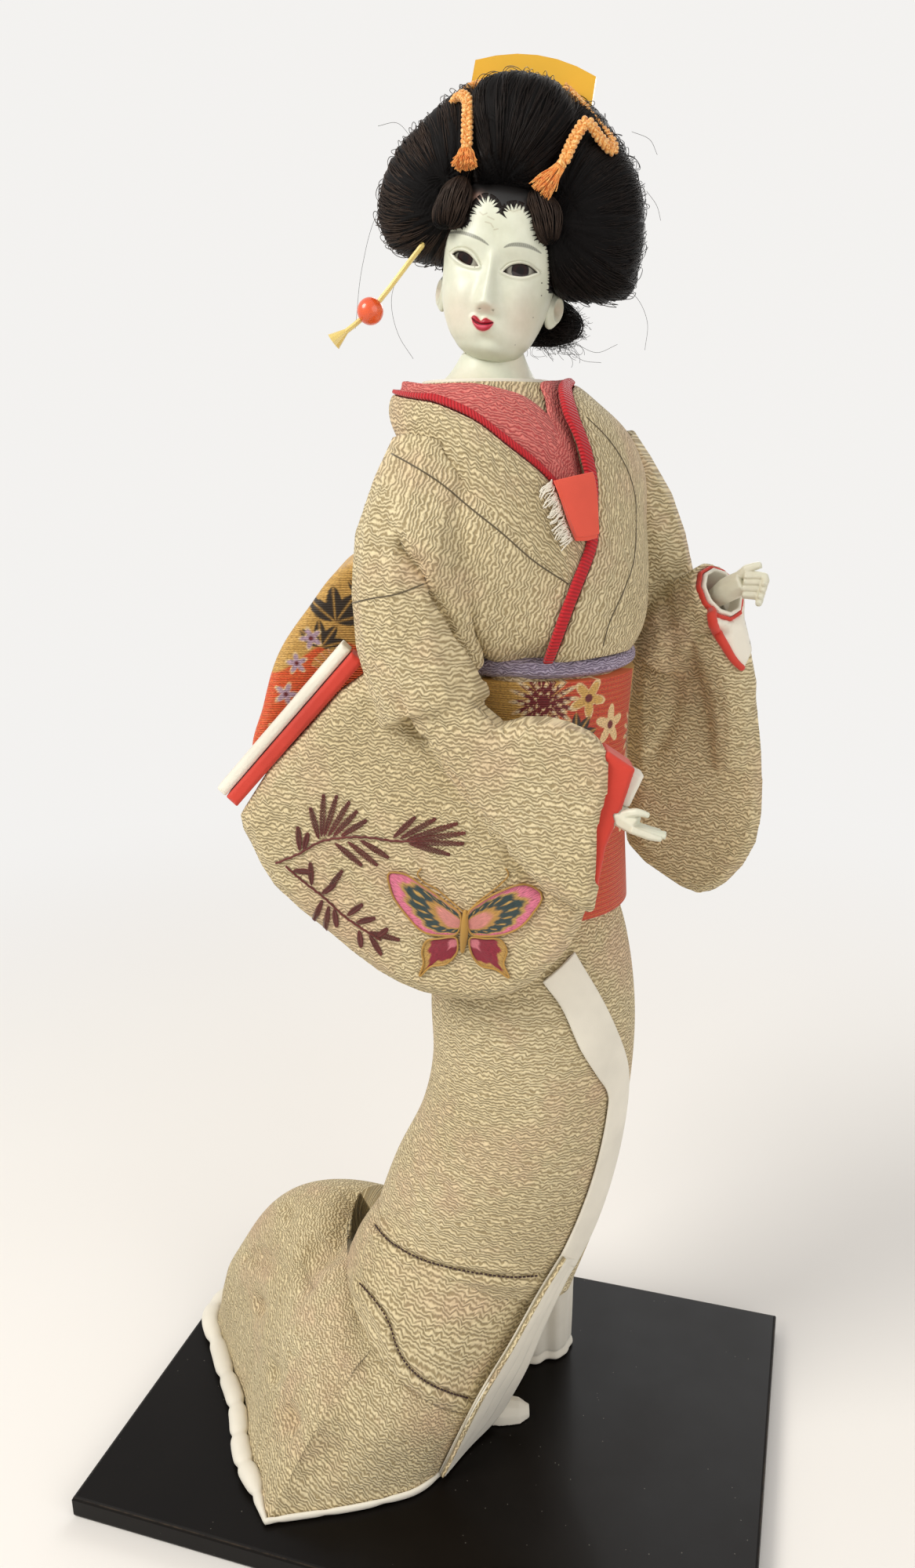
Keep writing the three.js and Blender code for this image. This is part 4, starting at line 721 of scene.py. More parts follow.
def painted(obj, colours, gloss=0.0):
    """Colours and a gloss value for each vertex, read by the skin's material."""
    layer = obj.data.color_attributes.new("paint", "FLOAT_COLOR", "POINT")
    gloss = np.broadcast_to(gloss, len(colours))
    layer.data.foreach_set("color", np.column_stack([colours, gloss]).astype(np.float32).ravel())


# Brocade of the sash: ribbed gold and orange grounds with flowers and leaves of a plain old kind

def brocade_look():
    n = Nodes("brocade_look", 0.5, Sheen_Weight=0.15, Specular_IOR_Level=0.4)
    paint = n.add("VertexColor", layer_name="paint")
    weave = n.noise(n.coord("UV", (1 / 0.0009, 1 / 0.00028, 1)), 1.0, 1.0, 0.5)
    rib = n.math("SINE", n.math("MULTIPLY", n.axes(n.coord())[1], 2 * math.pi / 0.00075))
    worn = n.ramp(weave, (0.3, srgb(196, 188, 180)), (0.6, (1, 1, 1)))
    n.colour(n.mix(1.0, paint.outputs["Color"], worn, "MULTIPLY"))
    n.rough(n.math("MULTIPLY_ADD", weave, 0.25, 0.4))
    n.relief((rib, 0.00016, 0.7), (weave, 0.00015, 0.6))
    return n.material


BROCADE = brocade_look()
GOLD, ORANGE, MAROON, PALE = (228, 182, 98), (232, 84, 34), (112, 22, 28), (246, 212, 156)
LEAF, LILAC, FLAME = (50, 38, 26), (196, 168, 190), (206, 58, 30)
MOTIFS = {
    "obi": [("mum", 49, 288, 11.5, MAROON), ("blossom", 64, 288, 7, GOLD),
            ("blossom", 74, 278, 7, PALE), ("leaf", 60, 276, 8, LEAF),
            ("blossom", 56, 262, 6, GOLD), ("fan", 44, 255, 11, GOLD),
            ("blossom", 64, 236, 7, GOLD), ("leaf", 56, 247, 8, LEAF), ("mum", 52, 226, 11, MAROON),
            ("blossom", 84, 246, 7, LILAC), ("mum", 96, 272, 12, MAROON),
            ("leaf", 30, 270, 8, LEAF), ("blossom", 118, 252, 9, GOLD),
            ("mum", 146, 240, 12, MAROON), ("fan", 22, 240, 12, PALE),
            ("blossom", 174, 262, 10, GOLD), ("mum", 0, 262, 12, MAROON),
            ("blossom", 130, 282, 7, LILAC), ("leaf", 108, 226, 8, LEAF),
            ("blossom", 190, 230, 8, PALE)],
    "bow": [("leaf", -33, 311, 12, LEAF), ("leaf", -38, 303, 9, LEAF), ("leaf", -22, 318, 9, LEAF),
            ("blossom", -41, 306, 4.2, LILAC), ("fan", -33, 294, 9, GOLD),
            ("blossom", -46, 298, 4, LILAC), ("blossom", -50, 288, 4.4, LILAC),
            ("leaf", -10, 304, 8, LEAF), ("blossom", -52, 277, 4.4, PALE),
            ("mum", -6, 283, 9, MAROON), ("blossom", -54, 268, 4, LILAC),
            ("blossom", -12, 322, 4, PALE)],
    "tail": [("blossom", -44, 228, 5, GOLD), ("blossom", -40, 246, 5, PALE),
             ("leaf", -30, 256, 6, LEAF), ("blossom", -14, 258, 4, LILAC)],
}


def mum(d, x, size, colour):
    away, angle = np.linalg.norm(d, axis=1), np.arctan2(d[:, 1], d[:, 0])
    for ring, petals in ((1.0, 18), (0.76, 15), (0.52, 11), (0.28, 7)):
        share = away / (size * ring)
        edge = np.abs(np.cos(angle * petals / 2 + ring * 9)) ** 0.7
        yield PALE, smoothstep(edge * 1.02 - share, -0.02, 0.05) * (share > 0.55)
        yield colour, smoothstep(edge * 0.9 - share, -0.02, 0.05)
        dot = np.cos(angle * petals + ring * 18) - 30 * (share - 0.8) ** 2
        yield (244, 226, 190), smoothstep(dot, 0.72, 0.84)


def blossom(d, x, size, colour):
    away, angle = np.linalg.norm(d, axis=1), np.arctan2(d[:, 1], d[:, 0])
    edge = 0.72 + 0.28 * np.cos(angle * 5 + x)
    yield (250, 222, 166), smoothstep(edge * size - away, 0, 0.3)
    yield colour, smoothstep(edge * size * 0.86 - away, 0, 0.3)
    yield MAROON, smoothstep(size * 0.22 - away, 0, 0.3)


def fan(d, x, size, colour):
    away, angle = np.linalg.norm(d, axis=1), np.arctan2(d[:, 1], d[:, 0])
    inside = (away < size) & (away > size * 0.24) & (angle > 0.35) & (angle < 2.8)
    rays = np.abs(((angle - 0.35) / 2.45 * 8) % 1 - 0.5)
    yield (250, 206, 150), inside * smoothstep(rays, 0.36, 0.42)
    yield colour, inside * (1 - smoothstep(rays, 0.3, 0.36)) * 0.75


def leaf(d, x, size, colour):
    for spread in (-0.7, 0, 0.7, 1.5):
        c, s = math.cos(spread + 0.9), math.sin(spread + 0.9)
        along, side = d[:, 0] * c + d[:, 1] * s, -d[:, 0] * s + d[:, 1] * c
        half = np.sin(np.pi * np.clip(along / size, 0, 1)) ** 0.8 * size * 0.22
        inside = smoothstep(half - np.abs(side), 0, 0.25) * (along > 0) * (along < size)
        yield colour, inside
        yield (206, 160, 82), inside * bump(side, 0.3)


MOTIF_KINDS = {"mum": mum, "blossom": blossom, "fan": fan, "leaf": leaf}
# The sash's pattern runs on a cylinder of this radius, and repeats once round it
OBI_RADIUS, OBI_ROUND = 31, 194.8


def pattern(q, layout):
    """Layers of the sash's colours at places in millimetres, round the body or across, and up."""
    if layout == "obi":
        border = np.sin((q[:, 0] - 10) / 13) * 9 + (q[:, 1] - 275) * 0.12
    else:
        border = q[:, 1] - 5 * np.sin(q[:, 0] / 7) - 300
    ground, stripe = smoothstep(border, -0.6, 0.6), 0.5 + 0.5 * np.sin(q[:, 1] / 0.9 * np.pi)
    yield GOLD, ground
    yield (168, 124, 58), ground * stripe * 0.4
    yield (238, 170, 92), (1 - ground) * 0.2 * stripe
    for kind, x, y, size, colour in MOTIFS[layout]:
        d = q - (x, y)
        if layout == "obi":
            d[:, 0] = (d[:, 0] + OBI_ROUND / 2) % OBI_ROUND - OBI_ROUND / 2
        yield from MOTIF_KINDS[kind](d, x, size, colour)


def weave_face(obj, layout):
    """Paints a sash piece with its ground and motifs."""
    p = from_row(coords(obj), FIGURE)
    q = p[:, [0, 2]]
    if layout == "obi":
        q = np.column_stack([(np.arctan2(p[:, 1] - 8, p[:, 0] - 32) + np.pi) * OBI_RADIUS, p[:, 2]])
    painted(obj, layered(len(q), FLAME if layout == "obi" else ORANGE, pattern(q, layout)))




# The figure's cloth


def oval_sheet(form, levels, rows, cols, lift=0.0):
    """A closed body of an oval form between two levels, and each vertex's angle and level."""
    level = np.linspace(levels[0], levels[1], rows)
    angle = np.arange(cols) / cols * 360
    a, l = np.meshgrid(angle, level)
    rings = form.lifted(a, l, lift(a, l) if callable(lift) else lift)
    verts, faces = skin(rings)
    a = np.concatenate([a.ravel(), [0, 0]])
    l = np.concatenate([l.ravel(), [levels[0], levels[1]]])
    return verts, faces, a, l


UV_RADIUS = 33.0


def oval_piece(name, form, levels, rows, cols, lift=0.0):
    verts, faces, a, l = oval_sheet(form, levels, rows, cols, lift)
    obj = mesh_of(name, verts, faces, FIGURE)
    set_uv(obj, np.radians(a) * UV_RADIUS * MM, l * MM, 2 * math.pi * UV_RADIUS * MM)
    return obj


def planar_uv(obj, across, upward):
    """UV along two directions of the figure's frame, in metres."""
    p = from_row(coords(obj), FIGURE)
    set_uv(obj, p @ np.array(across) * MM, p @ np.array(upward) * MM)


def robe_uv(obj):
    """Ridges run level on the sleeves, and slant up over her chest beside the right armhole.

    Each face's way is told by its centre, so the change from one to the other is sharp.
    """
    mesh = obj.data
    p = from_row(coords(obj), FIGURE)[read(mesh.loops, "vertex_index")]
    centre = read(mesh.polygons, "center", 3, np.float32).astype(float)
    middle = np.repeat(from_row(centre, FIGURE), read(mesh.polygons, "loop_total"), 0)
    x, y, z = middle.T
    chest = (x > -3 + (330 - z) * 0.5) & (z > 300) & (y < 20) & (x < 62)
    c, s = math.cos(math.radians(68)), math.sin(math.radians(68))
    wide = p[:, 0] * 1.08
    u = np.where(chest, wide * c + p[:, 2] * s, p[:, 0] - 0.4 * p[:, 1])
    v = np.where(chest, -wide * s + p[:, 2] * c, p[:, 2] + 0.1 * p[:, 0])
    write_uv(mesh, u * MM, v * MM)


# The outer edges of the collars, once round the body, as angle and level: the cloth swells below
COLLAR_EDGE = np.array([
    (-108, 316), (-82, 303.5), (-70, 310), (-60, 318), (-50, 328), (-42, 337), (-35, 348),
    (-28, 358), (-15, 366), (5, 368), (40, 368), (85, 367), (135, 367), (170, 363), (184, 355),
    (197, 347), (212, 340), (225, 331.7), (238, 325), (252, 316),
])


def chest_lift(a, l):
    a = (a + 108) % 360 - 108
    edge = np.interp(a, *COLLAR_EDGE.T)
    full = smoothstep(edge + 12 - l, 0, 12) * smoothstep(l, 301, 309)
    return 3.3 * full + 4.0 * bump(a - 190, 26) * bump(l - 336, 18)


chest_verts, chest_faces, _, _ = oval_sheet(BODICE, (300.5, 372), 60, 160, chest_lift)
upper = remeshed(
    "kimono_upper", ["bodice", "sleeve_right", "sleeve_left", "arm_right", "arm_left", "body_core"],
    1.0, 5, 0.4,
    [(to_row(chest_verts, FIGURE), chest_faces)])


def dent(obj, path, depth, width):
    """Pushes a surface in along a line of points in the row frame, by depth mm over width mm."""
    co, no = coords(obj), normals(obj)
    path = np.asarray(path, float)
    start, step = path[:-1], np.diff(path, axis=0)
    near = np.full(len(co), 1e9)
    reach = width * 3 * MM
    box = np.all((co > path.min(0) - reach) & (co < path.max(0) + reach), 1)
    q = co[box]
    best = np.full(len(q), 1e9)
    for a, d in zip(start, step):
        t = np.clip(((q - a) @ d) / max(d @ d, 1e-12), 0, 1)
        best = np.minimum(best, np.linalg.norm(q - a - t[:, None] * d, axis=1))
    near[box] = best
    set_coords(obj, co - no * (depth * MM * bump(near / MM, width))[:, None])


def press(obj, dents):
    """Dents a piece along lines of the photograph: pixels, number of points, depth and width."""
    tree = tree_of(obj)
    for line, count, depth, width in dents:
        dent(obj, cast(tree, through(line, count)), depth, width)


press(upper, [
    ([(506, 690), (528, 716), (560, 762), (588, 808), (612, 850), (640, 905)], 40, 4.6, 1.7),
    ([(540, 690), (562, 716), (590, 756), (616, 800), (640, 842), (664, 880)], 40, -2.6, 6),
    ([(480, 655), (495, 680), (512, 700)], 20, 1.6, 2.2),
    ([(470, 700), (500, 712), (530, 720)], 20, 1.0, 2.4),
    ([(520, 735), (545, 760), (560, 790)], 20, 0.9, 2.0),
    ([(505, 895), (560, 972), (620, 1052), (690, 1140)], 20, 1.7, 1.8),
    ([(846, 760), (856, 830), (860, 900), (838, 958)], 20, 1.6, 3),
    ([(822, 700), (812, 800), (800, 880)], 20, 1.6, 4),
])
robe_uv(upper)
finish_piece(upper, "figure", BEIGE, "kimono_crepe", ["bodice", "sleeve_right", "sleeve_left"])

ROBE = tree_of(upper)
SEAM = silk("seam_look", srgb(96, 84, 60), 0.8)
seam = laid(ROBE, [(447, 770), (470, 764), (505, 758), (540, 745)], 40, 0.05)
finish_piece(tubes("sleeve_seam", [seam], 0.22), "figure", SEAM)


def inlay(name, root, outline, cols, rows, lift, low):
    """A closed patch on the robe from a root pixel out to an outline, lifted, with its rim sunk in.

    Also gives the share of the way out of each row, and the outline's pixels.
    """
    line = through(outline, cols, True)
    share = np.linspace(0.02, 1, rows)
    pixel = np.array(root) + (line[None] - np.array(root)) * share[:, None, None]
    top = cast(ROBE, pixel.reshape(-1, 2), lift).reshape(rows, cols, 3) / MM
    rim = cast(ROBE, line, low).reshape(1, cols, 3) / MM
    verts, faces = skin(np.concatenate([top, rim]))
    return mesh_of(name, verts, faces, ROW), share, line


# Her left sleeve is open below the fist: a red edge turned back round a white lining

OPENING = [(922, 733), (906, 738), (903, 755), (903, 771), (907, 786), (912, 801), (918, 813),
           (924, 823), (933, 838), (945, 852), (954, 838), (960, 815), (962, 790), (960, 766),
           (954, 748), (940, 736)]
obj, _, _ = inlay("sleeve_lining_left", (932, 790), OPENING, 130, 24, 0.5, -0.4)
planar_uv(obj, (1, 0, 0), (0, 0, 1))
finish_piece(obj, "figure", WHITE, "white_silk")
edge = laid(ROBE, OPENING[:10], 90, 0.7)
thick = 1.1 + 0.5 * np.sin(np.linspace(0, np.pi, 90))
finish_piece(tubes("sleeve_red_edge_left", [edge], [thick], sides=14), "figure", RED, "red_silk")

# Embroidery on her right sleeve: two sprays of narrow leaves and a butterfly, in satin stitch

STEMS = [[(352, 1101), (381, 1089), (410, 1073), (439, 1068), (470, 1068), (499, 1072),
          (534, 1073)],
         [(365, 1105), (386, 1123), (413, 1144), (439, 1168), (465, 1186), (486, 1199)]]
LEAVES = [((410, 1073), (413, 1013)), ((408, 1074), (396, 1030)), ((412, 1072), (430, 1014)),
          ((416, 1071), (446, 1022)), ((422, 1070), (456, 1034)), ((432, 1068), (468, 1046)),
          ((383, 1088), (380, 1054)), ((387, 1086), (393, 1062)), ((499, 1071), (530, 1042)),
          ((506, 1072), (556, 1044)), ((512, 1073), (584, 1050)), ((518, 1073), (594, 1062)),
          ((522, 1074), (592, 1076)), ((516, 1074), (574, 1090)), ((424, 1072), (462, 1104)),
          ((440, 1070), (482, 1104)), ((456, 1069), (496, 1094)), ((413, 1143), (437, 1110)),
          ((409, 1141), (428, 1128)), ((398, 1132), (396, 1100)), ((413, 1145), (400, 1175)),
          ((420, 1152), (415, 1188)), ((426, 1157), (430, 1182)), ((441, 1169), (463, 1153)),
          ((452, 1177), (479, 1171)), ((466, 1187), (510, 1199)), ((470, 1190), (487, 1218)),
          ((458, 1184), (461, 1208)), ((480, 1196), (495, 1184)), ((372, 1110), (398, 1112))]
STITCH = silk("stitch_look", srgb(112, 46, 38), 0.55, 0.45)
threads = [laid(ROBE, stem, 60, 0.3) for stem in STEMS]
beat = np.arange(60) * 1.5
twist = np.column_stack([np.zeros(60), np.sin(beat) * 0.1, np.cos(beat) * 0.25])
threads += [t + twist for t in threads]
finish_piece(tubes("spray_stems", threads, 0.34), "figure", STITCH)
threads = []
for base, tip in LEAVES:
    base, tip = np.array(base, float), np.array(tip, float)
    way = tip - base
    side = np.array([-way[1], way[0]]) / np.linalg.norm(way)
    for k in range(16):
        t = 0.1 + 0.88 * k / 15
        half = 3.4 * math.sin(math.pi * t) ** 0.75 + 0.4
        for sign in (-1, 1):
            start = base + way * t
            finish = base + way * min(t + 0.1, 1) + side * sign * half
            threads.append(cast(ROBE, [start, (start + finish) / 2, finish], 0.28) / MM)
finish_piece(tubes("spray_leaves", threads, 0.17, sides=5), "figure", STITCH)

SATIN = Nodes("satin_stitch_look", 0.42, Sheen_Weight=0.2, Specular_IOR_Level=0.4)
satin_paint = SATIN.add("VertexColor", layer_name="paint")
satin_thread = SATIN.noise(SATIN.coord("UV", (220, 12, 1)), 1.0, 1.0, 0.5)
satin_shade = SATIN.ramp(satin_thread, (0.3, srgb(178, 170, 166)), (0.6, (1, 1, 1)))
SATIN.colour(SATIN.mix(1.0, satin_paint.outputs["Color"], satin_shade, "MULTIPLY"))
SATIN.relief((satin_thread, 0.0002, 0.8))
WINGS = {
    "upper_right": ([(497, 1113), (513, 1113), (539, 1128), (570, 1150), (588, 1166), (583, 1190),
                     (562, 1192), (544, 1189), (518, 1165), (499, 1134)], (588, 1178), "dark"),
    "upper_left": ([(597, 1166), (618, 1147), (639, 1136), (670, 1128), (692, 1144), (681, 1163),
                    (666, 1180), (649, 1189), (622, 1193), (602, 1190)], (597, 1180), "dark"),
    "lower_right": ([(583, 1196), (562, 1196), (544, 1200), (539, 1214), (541, 1226), (536, 1244),
                     (550, 1232), (570, 1228), (584, 1212)], (586, 1198), "crimson"),
    "lower_left": ([(600, 1196), (620, 1196), (639, 1198), (647, 1212), (643, 1228), (650, 1246),
                    (634, 1236), (613, 1230), (601, 1212)], (598, 1198), "crimson"),
}
ROOT_PINK, GILT_LINE, EDGE_PINK = (226, 128, 140), (196, 156, 82), (226, 122, 150)
for wing, (outline, root, kind) in WINGS.items():
    obj, share, line = inlay("wing_" + wing, root, outline, 110, 26, 0.55, -0.5)
    s = np.repeat(np.append(share, 1.02), 110)
    a = np.tile(np.arange(110) / 110, 27)
    ragged = s + 0.03 * np.sin(a * 2 * np.pi * 11)
    if kind == "dark":
        dots = np.cos(a * 2 * np.pi * 13) - 60 * (s - 0.6) ** 2
        tone = layered(len(s), (232, 150, 140), [
            ((198, 150, 72), smoothstep(s, 0.3, 0.36)),
            ((40, 62, 62), smoothstep(ragged, 0.42, 0.47)),
            ((206, 164, 84), smoothstep(dots, 0.55, 0.75)),
            (GILT_LINE, smoothstep(ragged, 0.73, 0.76)),
            (EDGE_PINK, smoothstep(ragged, 0.8, 0.83))])
    else:
        tone = layered(len(s), ROOT_PINK, [
            ((146, 22, 48), smoothstep(s, 0.26, 0.32)), (GILT_LINE, smoothstep(ragged, 0.8, 0.84))])
    painted(obj, np.vstack([tone, tone[:1], tone[-1:]]))
    set_uv(obj, np.append(a, [0, 0]), np.append(s, [0, 1]), 1.0)
    finish_piece(obj, "figure", SATIN.material)
    edge = cast(ROBE, np.vstack([line, line[:1]]), 0.75) / MM
    finish_piece(tubes("couching_" + wing, [edge], 0.34), "figure", GILT)
body = laid(ROBE, [(594, 1160), (593, 1185), (590, 1214)], 30, 0.6)
thick = 0.5 + 0.9 * np.sin(np.linspace(0.1, 3, 30))
finish_piece(tubes("butterfly_body", [body], [thick], sides=10), "figure", GILT)
FEELERS = [[(592, 1163), (575, 1148), (555, 1132), (541, 1124), (533, 1114), (538, 1107)],
           [(596, 1163), (612, 1148), (628, 1136), (640, 1126), (649, 1114), (645, 1107)]]
feelers = [laid(ROBE, line, 40, 0.5) for line in FEELERS]
finish_piece(tubes("butterfly_feelers", feelers, 0.24), "figure", GILT)

TUCKS = [[(478, 1562), (490, 1577), (510, 1592), (535, 1605), (570, 1616), (610, 1624), (655, 1629),
          (690, 1627)],
         [(458, 1636), (475, 1655), (495, 1685), (507, 1720), (515, 1735), (540, 1760), (570, 1775),
          (600, 1784)]]
skirt = oval_piece("skirt_cloth", SKIRT, (68.1, 286), 260, 320)
tier = oval_piece("tier_cloth", TIER, (42.5, 75), 90, 300)
tree = tree_of(skirt, tier)
for number, tuck in enumerate(TUCKS):
    line = through(tuck, 160)
    ahead = unit(np.gradient(line, axis=0))
    side = np.column_stack([ahead[:, 1], -ahead[:, 0]])
    seam = cast(tree, line)
    for piece in (skirt, tier):
        dent(piece, seam, 1.5, 1.0)
        dent(piece, cast(tree, line + side * 9), -1.0, 1.7)
        dent(piece, cast(tree, line - side * 10), -1.1, 1.9)
    long = through(seam / MM, 220)
    stitches = [long[k:k + 4] for k in range(1, 214, 5)]
    finish_piece(tubes("tuck_thread_%d" % number, stitches, 0.34), "figure", THREAD)
finish_piece(skirt, "figure", BEIGE, "kimono_crepe", ["skirt"])
finish_piece(tier, "figure", BEIGE, "kimono_crepe", ["skirt_band"])


def drape(a, l):
    """Soft pleats of the under-robe, which fan out to the hem and end in a rolled edge."""
    low = smoothstep(66 - l, 0, 40)
    swing = 0.6 * np.sin(l * 0.08)
    folds = 0.9 * np.sin(np.radians(a) * 9 + swing) + 0.4 * np.sin(np.radians(a) * 17 + 1)
    front = bump((a - 270 + 180) % 360 - 180, 80)
    return low * folds * front + 0.8 * bump(l - 1.6, 1.2) - 0.5 * bump(l - 4.4, 0.8)


under = oval_piece("under_robe_cloth", UNDER, (0.4, 76), 150, 300, drape)
finish_piece(under, "figure", WHITE, "white_silk", ["under_robe"])
obi = oval_piece("obi_cloth", OBI, (213.5, 294), 260, 640, 3.3)
weave_face(obi, "obi")
finish_piece(obi, "figure", BROCADE, "obi_brocade", ["obi"])


# Bands of cloth that follow the body: collars, piping, front edge

def edge_at(edge, t):
    edge = np.asarray(edge, float)
    return spline(np.asarray(t) * (len(edge) - 1), np.arange(len(edge)), edge)


def along_uv(rows):
    """Metres along a grid's rows and across its columns, from the first row and column."""
    u = np.cumsum(np.linalg.norm(np.diff(rows, axis=0, prepend=rows[:1]), axis=2), axis=0)
    v = np.cumsum(np.linalg.norm(np.diff(rows, axis=1, prepend=rows[:, :1]), axis=2), axis=1)
    return np.repeat(u.mean(1, keepdims=True), rows.shape[1], 1) * MM, v * MM


def wrapped(name, rings):
    """A closed sheet of cloth in the figure's frame, with its own lengths as UV."""
    verts, faces = skin(rings)
    obj = mesh_of(name, verts, faces, FIGURE)
    u, v = along_uv(rings)
    set_uv(obj, np.append(u.ravel(), [0, u.max()]), np.append(v.ravel(), [0, 0]))
    return obj


def band(name, form, edges, share, lift, thickness, steps=160, across=14):
    """A closed band with soft edges between two edges given as [angle, height] on a form."""
    t = np.linspace(0, 1, steps)
    a, b = (edge_at(e, t) for e in edges)
    s = 0.5 - 0.5 * np.cos(np.linspace(0, np.pi, across))
    part = (share[0] + (share[1] - share[0]) * s)[None, :, None]
    line = a[:, None] * (1 - part) + b[:, None] * part
    base = (lift(t) if callable(lift) else np.full(steps, lift))[:, None]
    edge = np.clip(1 - np.abs(2 * s - 1) ** 6, 0, 1) ** 0.5
    soft = thickness * (0.25 + (0.75 - CROWN * 0.3) * edge[None])
    top = form.lifted(line[..., 0], line[..., 1], base + soft)
    low = form.lifted(line[..., 0], line[..., 1], base + np.zeros((1, across)))
    return wrapped(name, np.concatenate([top, low[:, ::-1]], 1))


RIGHT_INNER = [(95, 381), (140, 380), (178, 377.7), (194, 376.8), (210, 373), (220, 367.2),
               (230.6, 360.8), (240, 353.5), (256, 342)]
RIGHT_OUTER = [(95, 367), (135, 367), (170, 363), (184, 355), (197, 347), (212, 340), (225, 331.7),
               (238, 325), (252, 316)]
LEFT_INNER = [(85, 381), (45, 382), (0, 382), (-45, 381.5), (-85, 379.5), (-103, 372),
              (-106.5, 362), (-107.5, 350), (-108, 337.5), (-120, 324), (-140, 303.5)]
LEFT_OUTER = [(85, 367), (40, 368), (5, 368), (-15, 366), (-28, 358), (-35, 348), (-42, 337),
              (-50, 328), (-60, 318), (-70, 310), (-82, 303.5)]
RIGHT_PINK = [[(120, 384), (160, 383), (183, 381.5), (214, 381.2), (233, 379.5), (246, 377),
               (253, 372), (257, 365)],
              [(120, 379), (160, 378), (178, 376), (204, 372.5), (218, 365), (230, 358), (240, 351),
               (248, 345)]]
LEFT_PINK = [[(60, 384), (0, 384), (-45, 383.5), (-90, 382), (-102, 376), (-112, 369), (-124, 362),
              (-131, 353)],
             [(60, 380), (0, 380), (-40, 379.5), (-80, 377.5), (-98, 370), (-103, 360), (-104, 351),
              (-106, 343)]]
TISSUE = [[(-125, 353.6), (-116, 354.4), (-107, 355)],
          [(-116.5, 336.4), (-111.5, 336.2), (-106, 336.6)]]
FRONT = [[(-88, 193.6), (-78, 184), (-68, 168), (-58, 156.5), (-49, 148), (-47, 140), (-48, 113),
          (-52, 86)],
         [(-69, 202.7), (-54, 185), (-39, 165), (-28, 149.5), (-23, 135), (-22, 118), (-27, 98),
          (-34, 81)]]
# A band's fullness, one layer of cloth, the gap under the lowest, the piping's share of a collar
CROWN, LAYER, CLEAR, PIPING = 0.3, 1.8, 0.8, 0.09


def left_lift(t):
    return CLEAR + LAYER + LAYER * smoothstep(t, 0.3, 0.5)


collars = [upper]
for side, pink in (("right", RIGHT_PINK), ("left", LEFT_PINK)):
    made = band("han_eri_" + side, BODICE, pink, (0, 1), CLEAR, 1.1, across=24)
    finish_piece(made, "figure", PINK, "pink_crepe", ["under_collar_" + side])
SIDES = (("right", (RIGHT_INNER, RIGHT_OUTER), CLEAR + LAYER),
         ("left", (LEFT_INNER, LEFT_OUTER), left_lift))
for side, edges, lift in SIDES:
    made = band("red_piping_" + side, BODICE, edges, (0, PIPING), lift, 1.6, across=12)
    finish_piece(made, "figure", CRIMSON, "red_silk", ["piping_" + side])
    made = band("eri_" + side, BODICE, edges, (PIPING + 0.015, 1), lift, 1.5, across=30)
    finish_piece(made, "figure", BEIGE, "kimono_crepe", ["collar_" + side])
    collars.append(made)
tree = tree_of(*collars)
SEAMS = [[(500, 579), (520, 590), (560, 615), (600, 648), (640, 680), (680, 715), (725, 745)],
         [(748, 532), (773, 557), (798, 595), (809, 628), (811, 666), (807, 720), (794, 757),
          (777, 795), (769, 824)]]
seams = [laid(tree, line, 80, 0.02) for line in SEAMS]
finish_piece(tubes("collar_seams", seams, 0.26), "figure", SEAM)
tissue = band("folded_tissue", BODICE, TISSUE, (0, 1), CLEAR + 3 * LAYER, 1.5, 60, 40)
finish_piece(tissue, "figure", TISSUE_RED, "orange_silk", ["chest_tissue"])
fold = band("tissue_fold", BODICE, TISSUE, (0, 0.93), CLEAR + 3 * LAYER + 1.4, 0.7, 60, 40)
finish_piece(fold, "figure", TISSUE_RED, "orange_silk")
fringe = []
for k in range(90):
    low, out = rng.uniform(0, 1), rng.uniform(1.5, 4.5)
    turned = np.array([-125.5 + 8.5 * low - out * f * 1.3 for f in (0, 0.4, 0.8, 1.1)])
    fall = 353.6 - 17 * low - np.array([0, 1, 2.4, 4.2]) * out * 0.16 + rng.normal(0, 0.4, 4)
    height = CLEAR + 2 * LAYER + np.array([1.4, 1.8, 1.5, 1.2])
    fringe.append(through(BODICE.lifted(turned, fall, height), 14))
finish_piece(tubes("tissue_fringe", fringe, 0.17, FIGURE, 5), "figure", WHITE, "orange_silk")
front = band("front_edge", SKIRT, FRONT, (0, 1), CLEAR, 1.1, 200, 16)
finish_piece(front, "figure", WHITE, "white_silk", ["front_band"])

# Below the band the linings of the robes lie over each other down to the board

FOLD_INNER = [(39.6, -20.9, 84), (33, -22.6, 73), (20, -28, 51), (8.6, -32.6, 33), (3, -34.4, 22),
              (-6, -37, 3)]
FOLD_OUTER = [(46.6, -13.6, 76), (38, -17, 60), (27, -17.6, 30), (15, -14.5, 3), (6.5, -23, 1),
              (-2, -34, 1)]


def lining(name, share, depth, look, thick=0.8, bend=0.0, fringe=0.0):
    """One layer of cloth between two shares of the way across the front fold."""
    inner, outer = through(FOLD_INNER, 140), through(FOLD_OUTER, 140)
    t = np.linspace(0, 1, 140)[:, None]
    s = (share[0] + (share[1] - share[0]) * np.linspace(0, 1, 18))[None, :]
    s = s + bend * np.sin(t * 7) * (1 - np.linspace(0, 1, 18))[None, :] * 0.1
    face = unit(np.cross(outer - inner, np.gradient(inner, axis=0)))
    face = np.where(face[:, 1:2] > 0, -face, face)[:, None]
    base = inner[:, None] * (1 - s[..., None]) + outer[:, None] * s[..., None]
    puff = np.sin(np.linspace(0, np.pi, 18)) ** 0.6
    ripple = fringe * np.sin(t * 23 + 3 * np.linspace(0, 1, 18)[None])
    low = base + face * depth
    top = base + face * (depth + thick * (0.35 + 0.65 * puff)[None] + ripple)[..., None]
    rings = np.concatenate([top, low[:, ::-1]], 1)
    rings[..., 2] = np.maximum(rings[..., 2], 0.4)
    finish_piece(wrapped(name, rings), "figure", look, "white_silk")


